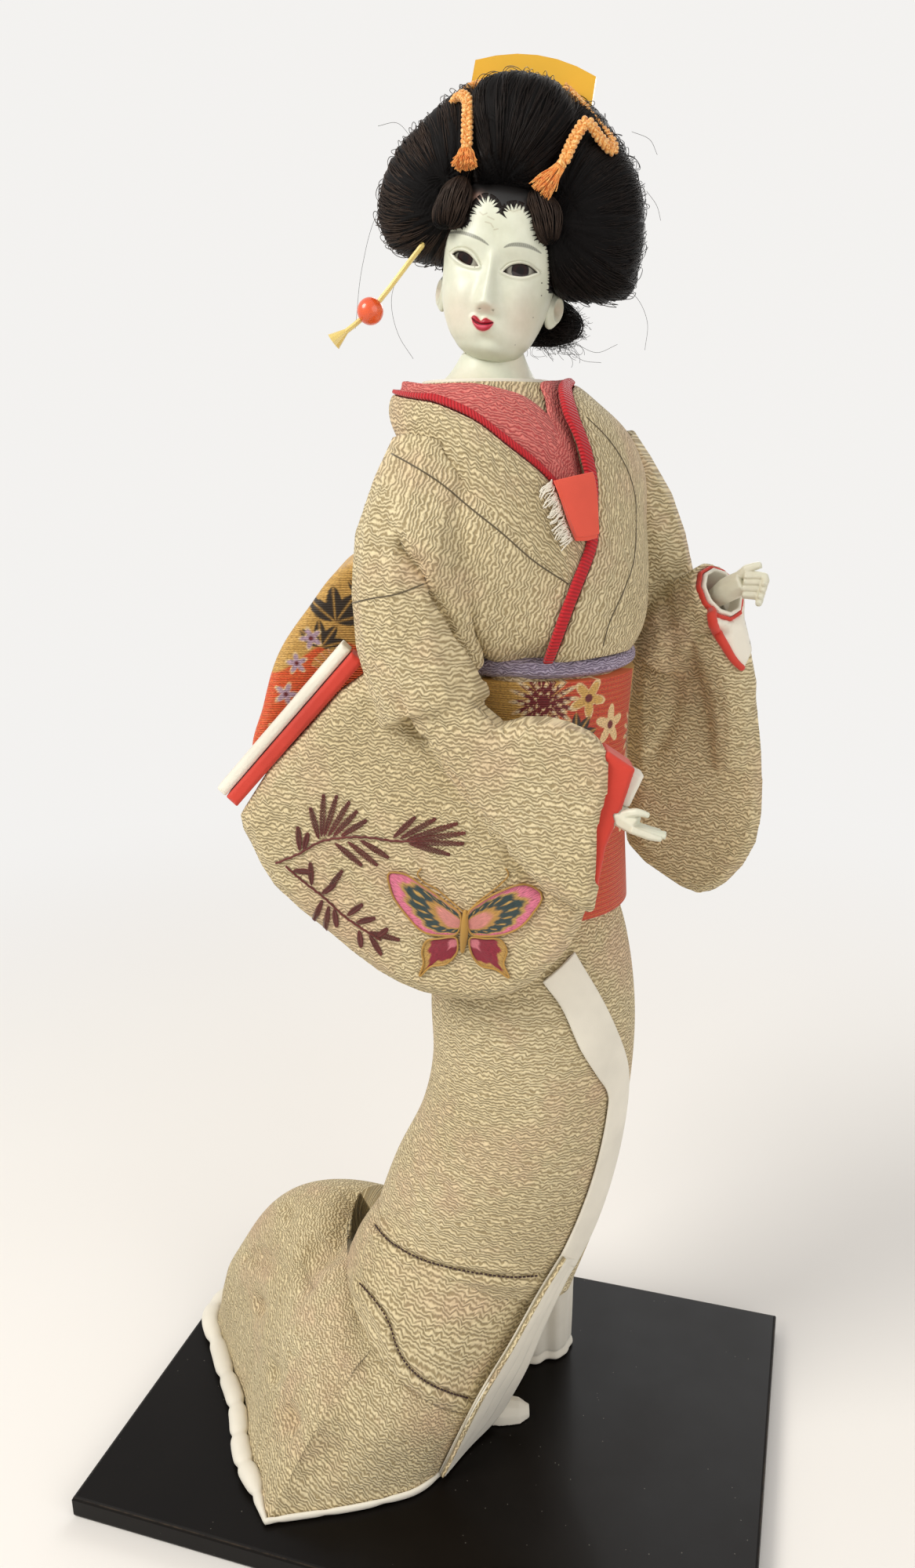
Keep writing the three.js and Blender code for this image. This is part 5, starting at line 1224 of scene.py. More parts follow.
lining("lining_back", (0.0, 1.0), 0.1, WHITE, 0.9, fringe=0.12)
lining("lining_middle", (0.0, 0.66), 1.0, WHITE, 0.8, 0.3, 0.15)
lining("lining_front", (-0.03, 0.34), 1.8, WHITE, 0.8, 0.4, 0.12)
lining("lining_seam", (-0.06, 0.03), 1.5, BEIGE, 1.5)


def bowl(name, stations, degrees, cols=120, rows=60):
    """A closed body of oval rings through stations of height, centre and half sizes."""
    s = np.array(stations, float)
    t = np.linspace(0, len(s) - 1, rows)
    s = spline(t, np.arange(len(s)), s)
    a = np.radians(np.arange(cols) / cols * 360)[None]
    turned = math.radians(degrees)
    u, v = s[:, 3:4] * np.cos(a), s[:, 4:5] * np.sin(a)
    x = s[:, 1:2] + u * math.cos(turned) - v * math.sin(turned)
    y = s[:, 2:3] + u * math.sin(turned) + v * math.cos(turned)
    rings = np.stack([x, y, np.broadcast_to(s[:, :1], x.shape)], -1)
    verts, faces = skin(rings)
    obj = mesh_of(name, verts, faces, FIGURE)
    u, v = along_uv(rings)
    set_uv(obj, np.append(v.ravel(), [0, 0]), np.append(u.ravel(), [0, u.max()]),
           v.max() * cols / (cols - 1))
    return obj


neck_collar = bowl("neck_collar", [
    (373, 18, 7, 22.6, 17.6), (379, 17, 7.5, 22.7, 18.2), (382.6, 16.3, 7.8, 22.7, 18.2),
    (383.4, 16.3, 7.8, 22.1, 17.6), (382.8, 16.4, 7.6, 21.5, 17.1), (379, 17.2, 7.1, 19.6, 15.4),
    (375.4, 17.8, 6.3, 15.5, 12.8), (374.6, 18, 6, 9.6, 9.6),
], 50)
finish_piece(neck_collar, "figure", WHITE, "white_silk", ["inner_collar"])

sash_band = Form([(294.6, 33, 8, 29.3, 28.3), (296, 33, 8, 31.5, 30.5), (300, 33, 8, 31.9, 30.9),
                  (301.5, 33, 8, 29.7, 28.7)], 50)


def pleats(a, l):
    f = (l - 294.6) / 6.9
    return 0.35 * np.sin(f * 9 + 0.8 * np.sin(np.radians(a) * 3)) * np.sin(f * np.pi) - 0.2


obi_age = oval_piece("obi_age_cloth", sash_band, (294.6, 301.5), 40, 240, pleats)
finish_piece(obi_age, "figure", LAVENDER, "lavender_crepe", ["obi_age"])

# Train, its folded edge and the white rolls of the hem

TRAIN_TOP = [(22, 0, 17), (7, -30, 22), (-12, -34, 35), (-28, -27, 51), (-37, -12, 61),
             (-40, 6, 70), (-38, 22, 79), (-26, 33, 75), (-6, 36, 61), (14, 26, 38)]
TRAIN_HEM = [(24, 8, 1.5), (-5, -37, 1.4), (-27, -49, 1.3), (-67, -56, 1.4), (-84, -24, 1.8),
             (-98, 18, 2.4), (-109, 46, 3), (-90, 70, 2.6), (-48, 72, 2), (2, 54, 1.5)]


def rim_at(along):
    return 1.5 + 5.4 * smoothstep(along, 0.25, 0.31) * (1 - smoothstep(along, 0.88, 1))


def train_ring(share, rim=1.0, front=110, back=330):
    top, hem = np.array(TRAIN_TOP, float), np.array(TRAIN_HEM, float)
    xy = top[:, :2] * (1 - share) + hem[:, :2] * share
    z = 0.4 + (top[:, 2] - 0.4) * (1 - share ** hem[:, 2])
    p = np.column_stack([xy, z])
    t = np.linspace(0, 3, front + 1)[:-1]
    ring = [spline(t, np.arange(4), p[:4])]
    t = np.linspace(0, 7, back + 1)[:-1]
    ring.append(spline(t, np.arange(8), np.vstack([p[3:], p[:1]])))
    ring = np.vstack(ring)
    along = np.arange(len(ring)) / len(ring)
    wave = np.sin(along * 7 * 2 * np.pi) * 1.2 * share * np.minimum(along * 4, 1) * (along > 0.28)
    out = ring - ring.mean(0)
    out[:, 2] = 0
    return ring + unit(out) * (wave - rim * share * rim_at(along))[:, None]


AROUND, ALONG = 440, 150
shares = np.linspace(0, 1, ALONG) ** 0.9
rings = np.array([train_ring(share) for share in shares])
rings[..., 2] += 1.6 * (shares[:, None] ** 3) * (rim_at(np.arange(AROUND) / AROUND) > 1.6)
verts, faces = skin(rings)
train = mesh_of("train_cloth", verts, faces, FIGURE)
TRAIN_DENTS = [
    ([(452, 1533), (440, 1560), (425, 1588), (404, 1603)], 4.2, 6.0),
    ([(400, 1600), (380, 1618), (330, 1604)], 2.0, 5.0), ([(367, 1543), (368, 1546)], 1.6, 4.0),
    ([(388, 1622), (395, 1640)], 2.2, 4.5), ([(318, 1604), (340, 1608)], 1.4, 3.0),
    ([(349, 1748), (351, 1752)], 2.0, 4.0), ([(368, 1808), (371, 1812)], 2.4, 4.0),
    ([(424, 1762), (427, 1766)], 2.2, 6.0), ([(330, 1662), (334, 1668)], 2.0, 4.0),
    ([(455, 1700), (470, 1740)], 2.2, 7.0), ([(300, 1600), (292, 1650)], -1.2, 9.0),
    ([(345, 1700), (380, 1700)], -1.5, 10.0), ([(400, 1870), (430, 1850)], 1.4, 9.0),
    ([(480, 1830), (520, 1820)], -1.3, 10.0),
]
DEEPER = 1.6
press(train, [(line, 8, depth * DEEPER, width) for line, depth, width in TRAIN_DENTS])
_, upward = along_uv(rings.transpose(1, 0, 2))
repeat = 0.36
around = np.tile(np.arange(AROUND) / AROUND * repeat, ALONG)
set_uv(train, np.append(around, [0, 0]), np.append(upward.T.ravel(), [0, upward.max()]), repeat)
finish_piece(train, "figure", BEIGE, "kimono_crepe", ["train"])


def sweep(name, path, wide, high, sides, creases):
    """A rolled hem round a closed path that lies nearly flat; wide and high are given along it."""
    ahead = np.roll(path, -1, 0) - np.roll(path, 1, 0)
    out = unit(np.cross(ahead, [0, 0, 1.0]))
    a = circle(sides)
    run = np.cumsum(np.linalg.norm(ahead, axis=1)) / 2
    pinch = 1 - creases * np.abs(np.sin(run / 17 * np.pi + np.sin(run / 23))) ** 14
    w, h = wide * pinch, high * pinch
    rings = path[:, None] + out[:, None] * (w[:, None] * np.cos(a))[..., None]
    rings = rings + np.array([0, 0, 1.0]) * (h[:, None] * np.sin(a) + high[:, None])[..., None]
    verts, faces = skin(rings, True)
    obj = mesh_of(name, verts, faces, FIGURE)
    u, v = along_uv(rings)
    set_uv(obj, u.ravel(), v.ravel())
    return obj


rim = rim_at(np.arange(AROUND) / AROUND)
middle = (train_ring(1.0, 0.0) + train_ring(1.0, 1.0)) / 2
middle[:, 2] = 0.4
white_hem = sweep("white_hem", middle, rim * 0.5 + 0.15, 0.9 + rim * 0.27, 28, 0.24)
finish_piece(white_hem, "figure", WHITE, "white_silk", ["hem_rim"])

# Sash bow, its hanging fold, the linings of the sleeves and the feet


def cushion(name, outline, plane, thickness, edge, rows, cols):
    """A closed padded form: an outline in x and height, set upright, with rounded rims."""
    fullness = 2.4
    line = through(outline, cols, closed=True)
    ahead = np.roll(line, -1, 0) - np.roll(line, 1, 0)
    out = unit(np.column_stack([ahead[:, 1], -ahead[:, 0]]))
    if np.sum(line[:, 0] * np.roll(line[:, 1], -1) - line[:, 1] * np.roll(line[:, 0], -1)) < 0:
        out = -out
    t = np.sin(np.linspace(-1, 1, rows) * np.pi / 2)
    near = np.clip((np.abs(t) * thickness / 2 - (thickness / 2 - edge)) / edge, 0, 1)
    inset = edge * (1 - (1 - near ** fullness) ** (1 / fullness))
    x0, y0, slope, z0, lean = plane
    rings = []
    for depth, cut in zip(thickness / 2 * (1 + t), inset):
        p = line - out * cut
        y = y0 + slope * (p[:, 0] - x0) + lean * (p[:, 1] - z0) + depth
        rings.append(np.column_stack([p[:, 0], y, p[:, 1]]))
    shares = np.linspace(0.03, 0.97, 54)[:, None, None]
    front, back = (end.mean(0) + (end - end.mean(0)) * shares for end in (rings[0], rings[-1]))
    rings = np.concatenate([front, np.array(rings), back[::-1]])
    verts, faces = skin(rings)
    return mesh_of(name, verts, faces, FIGURE)


BOW_LINE = [(1, 279), (1, 314), (-8, 326), (-19, 331), (-30, 328), (-42, 315), (-52, 301),
            (-58, 284), (-62, 266), (-58, 260), (-44, 263), (-26, 270)]
TAIL_LINE = [(4, 262), (-26, 262), (-44, 256), (-50, 236), (-47, 218), (-42, 217), (-38, 236),
             (-30, 250), (4, 254)]


def sash_part(name, outline, depth, thickness, edge, rows, cols, layout, node):
    made = cushion(name, outline, (-30, depth, 0.06, 290, 0), thickness, edge, rows, cols)
    planar_uv(made, (1, 0, 0), (0, 0.3, 1))
    weave_face(made, layout)
    finish_piece(made, "figure", BROCADE, "obi_brocade", [node])
    return made


bow = sash_part("bow_cloth", BOW_LINE, -4, 58, 4, 80, 420, "bow", "obi_bow")
sash_part("tail_cloth", TAIL_LINE, 3, 43.5, 1.4, 60, 360, "tail", "obi_tail")

for node in ("cuff_red_right", "cuff_white_right", "cuff_red_left", "cuff_white_left",
             "furi_red", "furi_white", "foot_right", "foot_left"):
    kind, rest = node.split("_", 1)
    name = {"cuff": "cuff_lining", "furi": "furi_lining", "foot": "tabi"}[kind] + "_" + rest
    look, slot = (RED, "red_silk") if "red" in node else (WHITE, "white_silk")
    made = remeshed(name, [node], 0.45, 3)
    planar_uv(made, (1, -0.4, 0), (0, 0, 1))
    finish_piece(made, "figure", look, slot, [node])

# Head: a dense skin whose eyes, brows, lips and hairline are drawn where the photograph shows them

SKULL = np.array([
    (-25.4, 3.8, -12.6, -7, 2.4), (-24.2, 7, -14.4, -3, 2.2), (-20.8, 10.9, -16.4, 3, 1.6),
    (-15.6, 13.9, -17.2, 8, 0.9), (-9, 15.9, -17.3, 14, 0.3), (-1, 16.9, -17.2, 19, 0),
    (7, 17.6, -18.1, 21.5, 0), (14, 17, -17.9, 22, 0), (21, 14.3, -14.9, 20.5, 0),
    (26, 9, -9.2, 15.5, 0), (28.5, 3, -2, 6, 0),
])
RIGHT_LIDS = [[(578.5, 324.5), (583, 321.5), (590, 321.3), (597, 324.3), (603, 330), (609.5, 339)],
              [(578.5, 324.5), (582, 328.5), (588, 333.2), (595, 336.8), (602, 338.8),
               (609.5, 339)]]
LEFT_LIDS = [[(642.5, 346.5), (647, 342.6), (653, 339), (660, 337.4), (668, 337.8), (675, 340.4),
              (680, 344), (684, 347.5)],
             [(642.5, 346.5), (647, 348.6), (653, 350.8), (660, 352), (668, 352.2), (675, 350.6),
              (680, 348.6), (684, 347.5)]]
IRISES = {"right": ((593.2, 329.6), 10.4), "left": ((663.4, 345), 11.4)}
CREASES = [[(573, 322), (581, 316.5), (591, 315.5), (601, 319.5), (609, 328), (614, 338)],
           [(639, 344), (646, 337.5), (655, 333.8), (666, 333), (676, 336), (684, 342), (690, 347)]]
BROWS = [[(570, 298), (578, 296.2), (588, 296.6), (598, 299), (606, 302), (614, 306), (623, 312.5)],
         [(643, 315.5), (650, 312.6), (659, 311.8), (668, 312.8), (677, 315.4), (684, 319),
          (690, 323)]]
UPPER_LIP = [(601.6, 405.6), (604.4, 402.4), (608.2, 403.6), (611.6, 407.4), (613.6, 409.4),
             (616, 407.2), (619.8, 405.4), (624, 407.6), (629.6, 411.4), (622, 413.4), (616, 413.8),
             (611, 413), (605.6, 409.8)]
LOWER_LIP = [(601.6, 405.6), (605.6, 409.8), (611, 413), (616, 413.8), (622, 413.4), (629.6, 411.4),
             (627.4, 416.2), (622.6, 420.8), (616.4, 422.8), (610.4, 421), (605.6, 416.2),
             (602.8, 410.6)]
PARTING = [(602.6, 406.4), (606.4, 410.4), (611.2, 412.8), (616, 413.5), (622, 413.1),
           (628.6, 411.7)]
NOSTRILS = [(611.6, 393.4), (628.4, 395.4)]
HAIRLINE = [(568, 296), (578, 291), (590, 289), (597, 284), (598.5, 270), (604, 261), (611, 253),
            (619, 249), (628, 251.5), (635, 258), (639.6, 272), (644, 262.5), (651, 259),
            (660, 259), (669, 263), (676, 270), (681, 279), (685, 291), (687, 304), (697, 313),
            (701.5, 330), (702, 350), (701, 372)]
CRACKS = [[(611, 270), (616, 274), (621, 272)], [(619, 283), (626, 285), (629, 290)],
          [(630, 293), (635, 292)],
          [(648, 268), (655, 270), (664, 267)], [(622, 276), (630, 280)]]
SPECKS = [(691, 361, 1.3), (690.6, 377, 1.1), (606.4, 341, 0.9), (680, 405, 0.9), (657, 440, 0.7),
          (700, 364, 0.8)]


def ring_of(pair):
    """A closed outline from an upper and a lower line that share their ends."""
    upper, lower = (through(line, 24) for line in pair)
    return np.vstack([upper, lower[::-1][1:-1]])


def relief(x, z):
    """How far the face stands out at a place across and up, without the lids and lips."""
    side = np.abs(x)
    rise = smoothstep(4 - z, 0, 15)
    tip = 1 - smoothstep(-z, 10.2, 14.4)
    nose = (0.9 * smoothstep(6 - z, 0, 5) + 3.5 * rise) * tip * bump(x, 1.6 + 1.3 * rise ** 2)
    wings = 1.0 * bump(side - 2.3, 1.25) * bump(z + 11.3, 1.5)
    socket = 1.5 * bump(side - 7.2, 4.4) * bump(z + 0.6, 3.2)
    brow = 0.7 * bump(side - 7.5, 5.5) * bump(z - 6, 2.8)
    mouth = 1.3 * bump(x - 0.5, 4.6) * bump(z + 16.6, 3.2)
    below = 0.5 * bump(x - 0.6, 3) * bump(z + 20, 1.2)
    chin = 0.9 * bump(x - 1, 4.2) * bump(z + 23, 2.4)
    cheek = 0.9 * bump(side - 9, 4.2) * bump(z + 9, 5)
    return nose + wings - socket + brow + mouth - below + chin + cheek


def front_at(x, z):
    """The y of the face's plain front at a place across and up."""
    level = spline(z, SKULL[:, 0], SKULL)
    c = np.clip(np.abs(x - level[:, 4]) / level[:, 1], 0, 1) ** (1 / 0.86)
    s = np.sqrt(1 - c * c)
    middle, half = (level[:, 2] + level[:, 3]) / 2, (level[:, 3] - level[:, 2]) / 2
    return middle - half * s ** 0.86 - s ** 0.7 * relief(x - level[:, 4], z)


def head_grid():
    z = np.concatenate([np.linspace(-25.4, -22, 26)[:-1], np.linspace(-22, 13, 290)[:-1],
                        np.linspace(13, 28.5, 50)])
    level = spline(z, SKULL[:, 0], SKULL)
    v = np.linspace(-1, 1, 520, endpoint=False)
    a = 1.5 * np.pi + np.pi * (0.42 * v + 0.58 * v ** 3)
    a = a + 0.42 * np.cos(a)
    c, s = np.cos(a), np.sin(a)
    x = level[:, 1:2] * (np.sign(c) * np.abs(c) ** 0.86)[None]
    middle, half = (level[:, 2] + level[:, 3]) / 2, (level[:, 3] - level[:, 2]) / 2
    y = middle[:, None] + half[:, None] * (np.sign(s) * np.abs(s) ** 0.86)[None]
    zz = np.repeat(level[:, :1], 520, 1)
    y = y - np.maximum(-s, 0)[None] ** 0.7 * relief(x, zz)
    return np.stack([x + level[:, 4:5], y, zz], -1)


def skin_look():
    n = Nodes("gofun_look", 0.4, Coat_Weight=0.12, Coat_Roughness=0.3, Subsurface_Weight=0.05)
    n.shader.inputs["Subsurface Radius"].default_value = (0.002, 0.0012, 0.0008)
    paint = n.add("VertexColor", layer_name="paint")
    mottle = n.noise(n.coord("Object"), 160, 4, 0.6)
    worn = n.ramp(mottle, (0.3, srgb(240, 240, 236)), (0.7, (1, 1, 1)))
    n.colour(n.mix(1.0, paint.outputs["Color"], worn, "MULTIPLY"))
    n.rough(n.math("MULTIPLY_ADD", paint.outputs["Alpha"], -0.26, 0.44))
    n.relief((mottle, 0.0001, 0.3))
    return n.material


SKIN = skin_look()
SKIN_TONE = (224, 227, 208)


def paint_plain(obj):
    warm = 0.5 + 0.5 * np.sin(from_row(coords(obj), FIGURE) @ np.array([0.23, 0.31, 0.17]))
    painted(obj, layered(len(warm), SKIN_TONE, [((226, 208, 186), 0.35 * warm)]))


verts, faces = skin(head_grid())
p = project(to_row(verts, HEAD))
front = (verts[:, 1] < 2) & (verts[:, 2] < 27)
p[~front] = -1000
out = unit(np.column_stack([verts[:, 0] / 26, -np.ones(len(verts)), np.zeros(len(verts))]))
lids = [ring_of(RIGHT_LIDS), ring_of(LEFT_LIDS)]
opening = np.maximum(*(within(p, lid) for lid in lids))
crease = np.minimum(*(from_line(p, through(c, 40))[0] for c in CREASES))
upper_lip = within(p, through(UPPER_LIP, 60, True))
lower_lip = within(p, through(LOWER_LIP, 60, True))
lips = np.maximum(upper_lip, lower_lip)
parting, _ = from_line(p, through(PARTING, 30))
nostril = np.minimum(*(np.linalg.norm((p - np.array(c)) * (1, 1.5), axis=1) for c in NOSTRILS))
lift = -3.4 * smoothstep(opening, -0.5, 1.2) + 0.62 * bump(opening + 2.6, 2.4) * (opening < 0.5)
lift = lift - 0.42 * bump(crease, 1.1) + 0.75 * smoothstep(lips, -1.5, 3.6)
lift = lift + 0.3 * smoothstep(lips, -6, 0)
lift = lift - 0.55 * bump(parting, 1.0) * (lips > -1) - 0.7 * bump(nostril, 1.6)
verts = verts + out * lift[:, None]

layers = [
    ((226, 196, 176), 0.5 * spot(p, (672, 408), (26, 34))),
    ((228, 204, 188), 0.4 * spot(p, (585, 400), (22, 30))),
    ((214, 180, 160), 0.35 * spot(p, (620, 392), (12, 6))),
    # Painted shade in the lid creases.
    ((196, 190, 170), 0.5 * bump(crease, 1.2)),
    # Painted shade on the lower right of the face, the side away from the light.
    ((178, 186, 164), 0.5 * smoothstep(p[:, 0], 640, 700) * smoothstep(p[:, 1], 340, 400)),
    # Painted shade under the chin: darker towards the bottom of the face.
    ((186, 190, 170), 0.45 * smoothstep(-verts[:, 2], 17, 25))]
for brow, height, peak in ((BROWS[0], 2.3, 1.1), (BROWS[1], 2.9, 0.9)):
    away, where = from_line(p, through(brow, 40))
    broad = 0.9 + height * np.sin(np.pi * np.clip(where, 0, 1) ** peak) ** 0.8
    fine = 0.28 * np.sin(p[:, 0] * 1.9 - p[:, 1] * 3.1)
    hairs = 0.72 + fine * np.sin(p[:, 0] * 0.7 + p[:, 1] * 2.3)
    layers.append(((70, 70, 62), 0.9 * hairs * (1 - smoothstep(away, broad * 0.45, broad))))
for upper_line, lower_line in (RIGHT_LIDS, LEFT_LIDS):
    lash, _ = from_line(p, through(upper_line, 40))
    under, _ = from_line(p, through(lower_line, 40))
    layers += [
        ((150, 140, 124), 0.5 * bump(lash, 2.4) * (opening < 0.2)),
        # Painted highlight along the rim below each lower lid.
        ((250, 248, 232), 0.6 * bump(under - 1.6, 1.2) * (opening < -0.3)),
        ((92, 66, 54), 0.85 * (1 - smoothstep(under, 0.15, 0.6))),
        ((20, 12, 10), 1 - smoothstep(lash, 0.55, 1.0))]

# Black paint outside the hairline, sparse hairs at its corners, cracks and specks
line = through(HAIRLINE, 420)
inner = within(p, np.vstack([line, [(690, 460), (600, 475), (545, 400), (545, 310)]]))
ink = smoothstep(1.4 - inner, -0.6, 0.6)
soft = spot(p, (594, 283), (7, 8)) + spot(p, (686, 297), (6, 12))
layers += [
    # Painted shade: the sockets inside the eye openings are near black.
    ((16, 8, 8), smoothstep(opening, 0.3, 0.9)),
    ((226, 186, 176), 0.6 * smoothstep(lips, -2.2, -0.2)),
    ((178, 28, 52), smoothstep(upper_lip, -0.25, 0.35)),
    ((196, 44, 68), smoothstep(lower_lip, -0.25, 0.35)),
    # Painted highlight on the lower lip.
    ((232, 112, 132), 0.55 * spot(p, (616, 416.4), (5, 2.4)) * (lower_lip > 0)),
    ((60, 8, 18), 0.9 * bump(parting, 0.7) * (lips > -0.4)),
    ((110, 84, 72), 0.55 * bump(nostril, 1.4)),
    ((13, 10, 9), np.where(front, ink, 1.0) * (p[:, 1] < 374)),
    ((196, 158, 142), 0.8 * spot(p, (609, 252), (7, 6)) * (inner < 3)),
    ((90, 88, 80), 0.6 * soft * (0.5 + 0.5 * np.sin(p[:, 0] * 2.2 + p[:, 1] * 0.4)))]
for crack in CRACKS:
    away, _ = from_line(p, crack)
    layers.append(((176, 164, 136), 0.5 * (1 - smoothstep(away, 0.3, 1.3))))
for x, y, size in SPECKS:
    away = np.linalg.norm(p - (x, y), axis=1)
    layers.append(((70, 56, 46), 0.9 * (1 - smoothstep(away, size * 0.5, size))))
tone = layered(len(verts), SKIN_TONE, layers)
face = mesh_of("face", verts, faces, HEAD)
painted(face, tone, 0.75 * smoothstep(lips, 0, 1))
finish_piece(face, "head", SKIN, "skin_gofun", ["head"])


def ball_rings(centre, half, rows=70, cols=180, tilt=0.0):
    lat = np.linspace(-0.995, 0.995, rows) * np.pi / 2
    lon = circle(cols)
    x = half[0] * np.cos(lat)[:, None] * np.cos(lon)
    y = half[1] * np.cos(lat)[:, None] * np.sin(lon)
    z = np.repeat(half[2] * np.sin(lat)[:, None], cols, 1)
    c, s = math.cos(math.radians(tilt)), math.sin(math.radians(tilt))
    return np.stack([centre[0] + x * c + z * s, centre[1] + y, centre[2] - x * s + z * c], -1)


# Glass eyes: a wide ball in each socket, dark iris, grey white of the eye

EYE_LOOK = Nodes("eye_look", 0.12, Specular_IOR_Level=0.2, Coat_Weight=0.15, Coat_Roughness=0.03)
eye_paint = EYE_LOOK.add("VertexColor", layer_name="paint")
flecks = EYE_LOOK.noise(EYE_LOOK.coord("Object"), 1400, 3, 0.6)
EYE_LOOK.colour(EYE_LOOK.mix(EYE_LOOK.math("MULTIPLY", flecks, 0.08), eye_paint.outputs["Color"],
                             srgb(60, 26, 20), "ADD"))
for side, sign in (("right", -1), ("left", 1)):
    verts, faces = skin(ball_rings((sign * 7.7, -11.4, -0.2), (5.8, 4.6, 4.6), 90, 160))
    verts[:, 1] = np.maximum(verts[:, 1], front_at(verts[:, 0], verts[:, 2]) + 0.75)
    ball = mesh_of("glass_eye_" + side, verts, faces, HEAD)
    q = project(coords(ball))
    centre, size = IRISES[side]
    away = np.linalg.norm((q - np.array(centre)) * (1, 0.86), axis=1)
    colour = layered(len(q), (168, 166, 152), [
        # Painted shade: the white of the eye darkens away from the iris, under the lids.
        ((120, 112, 100), smoothstep(away, size, size + 8)),
        ((12, 5, 5), 1 - smoothstep(away, size - 0.6, size + 0.4)),
        ((44, 16, 14), 0.8 * bump(away - size * 0.62, 2.2))])
    painted(ball, colour)
    finish_piece(ball, "head", EYE_LOOK.material, "eye_glass", ["eye_" + side])

# Ears: a shell with a hollow, low behind the jaw

for side, sign in (("right", -1), ("left", 1)):
    rings = ball_rings((0, 0, 0), (1.9, 4.4, 5.4), 80, 120)
    x, y, z = rings[..., 0], rings[..., 1], rings[..., 2]
    y = y * (1 - 0.2 * smoothstep(-z, 0, 5.4)) + 0.12 * z
    hollow = bump(np.hypot((y - 0.5) / 2.3, (z - 0.4) / 3.2), 0.72) * (x > 0)
    fold = 0.4 * bump(np.hypot((y - 0.4) / 3.1, (z - 0.2) / 4.1) - 0.86, 0.13) * (x > 0)
    x = x - 1.7 * hollow + fold
    c, s = math.cos(math.radians(30)), math.sin(math.radians(30))
    x, y = x * c + y * s, y * c - x * s
    placed = np.stack([sign * (x + 17.2), y + 5.6, z - 7.3], -1)
    verts, faces = skin(placed if sign > 0 else placed[:, ::-1])
    ear = mesh_of("ear_" + side, verts, faces, HEAD)
    # Painted shade in the ear's hollow.
    shade = bump(np.hypot((verts[:, 1] - 6) / 3, (verts[:, 2] + 7) / 3.4), 0.8)
    painted(ear, layered(len(verts), SKIN_TONE, [((206, 182, 158), 0.6 * shade)]))
    finish_piece(ear, "head", SKIN, "skin_gofun")

# Neck, and the plaster shoulder plate that it stands in

neck_rows = np.array([(8.2, 368), (8.4, 376), (8.8, 384), (8.9, 392), (9.6, 400), (9, 405)])
neck_levels = spline(np.linspace(0, 5, 60), np.arange(6), neck_rows)
a = circle(90)
shift = 18 + 0.6 * smoothstep(neck_levels[:, 1:], 392, 404)
neck_rings = np.stack([shift + neck_levels[:, :1] * np.cos(a), 2.2 + neck_levels[:, :1] * np.sin(a),
                       np.repeat(neck_levels[:, 1:], 90, 1)], -1)
neck_verts, neck_faces = skin(neck_rings)
neck = mesh_of("neck", neck_verts, neck_faces, FIGURE)
paint_plain(neck)
finish_piece(neck, "head", SKIN, "skin_gofun")

t = np.linspace(0, 1, 40)[:, None]
a = circle(160)[None]
turned = math.radians(50)
edge_x = 16.4 + 21.4 * np.cos(a) * math.cos(turned) - 17 * np.sin(a) * math.sin(turned)
edge_y = 7.7 + 21.4 * np.cos(a) * math.sin(turned) + 17 * np.sin(a) * math.cos(turned)
foot_x, foot_y = 18 + 9.3 * np.cos(a + turned), 2.2 + 9.3 * np.sin(a + turned)
share = t ** 0.9
top = np.stack([foot_x + (edge_x - foot_x) * share, foot_y + (edge_y - foot_y) * share,
                382.2 + 9.0 * (1 - t) ** 2.6 + 0 * edge_x], -1)
low = top[::-1] - np.array([0, 0, 3.0])
verts, faces = skin(np.concatenate([top, low]), True)
plate = mesh_of("shoulder_plate", verts, faces, FIGURE)
paint_plain(plate)
finish_piece(plate, "figure", SKIN, "skin_gofun")

for node, fuller in (("hand_right", 0.15), ("hand_left", 0.4)):
    made = remeshed(node + "_skin", [node], 0.3, 4)
    set_coords(made, coords(made) + normals(made) * fuller * MM)
    paint_plain(made)
    finish_piece(made, "figure", SKIN, "skin_gofun", [node])

# Hair: combed masses with grooves and loose strands, gathered at the front and the back

HAIR = Nodes("hair_look", 0.5, Specular_IOR_Level=0.1)
strands = HAIR.noise(HAIR.coord("UV", (3600, 45, 1)), 1.0, 3, 0.65, 0.15)
HAIR.colour(HAIR.mix(HAIR.fade(strands, 0.45, 0.75), srgb(4, 3, 3), srgb(22, 16, 14)))
HAIR.relief((strands, 0.0003, 1.0))
WISP = speckled("wisp_look", (5, 4, 4), (36, 27, 22), 500, 2, 0.4, Specular_IOR_Level=0.16)
BROWN = speckled("worn_hair_look", (26, 18, 15), (74, 58, 47), 300, 3, 0.5, Specular_IOR_Level=0.2)

POMPADOUR = [(-9.5, 20.5), (-11.5, 27.5), (-13.4, 34), (-15, 42), (-13.2, 47.4), (-8, 50.6),
             (1, 51.8), (9, 50.3), (14, 46), (15.8, 40), (14.6, 34), (11.4, 27.5), (8.5, 21.5),
             (-1, 19.5)]
RIGHT_WING = [(-11, 44), (-18, 48), (-24, 43.5), (-31, 35.5), (-36.8, 27.5), (-39.4, 18),
              (-38.8, 9), (-34.8, 3.2), (-28, 0.8), (-20.8, 0.6), (-15, 4), (-12, 14), (-10.5, 28)]
LEFT_WING = [(9, 42), (13.5, 48.5), (20, 47), (28, 39.5), (35.5, 30.6), (39.2, 20), (40.1, 9),
             (39, 1), (33, -2.2), (25, -3.2), (18, -3), (14, 4), (12.5, 16), (10.5, 29)]
RIGHT_TUFT = [(-18.5, 8.1), (-19.1, 10.8), (-18, 14.7), (-15.7, 19.7), (-12.4, 22), (-10.2, 19.5),
              (-9.6, 15.9), (-10.2, 12.1), (-11.2, 9.1), (-14.7, 7.8)]
LEFT_TUFT = [(8.9, 15), (6.7, 18.5), (7.2, 21.3), (10.9, 20.9), (15.6, 17.8), (17.2, 12.4),
             (16.4, 8.5), (13.3, 8.1), (10.1, 11.4)]
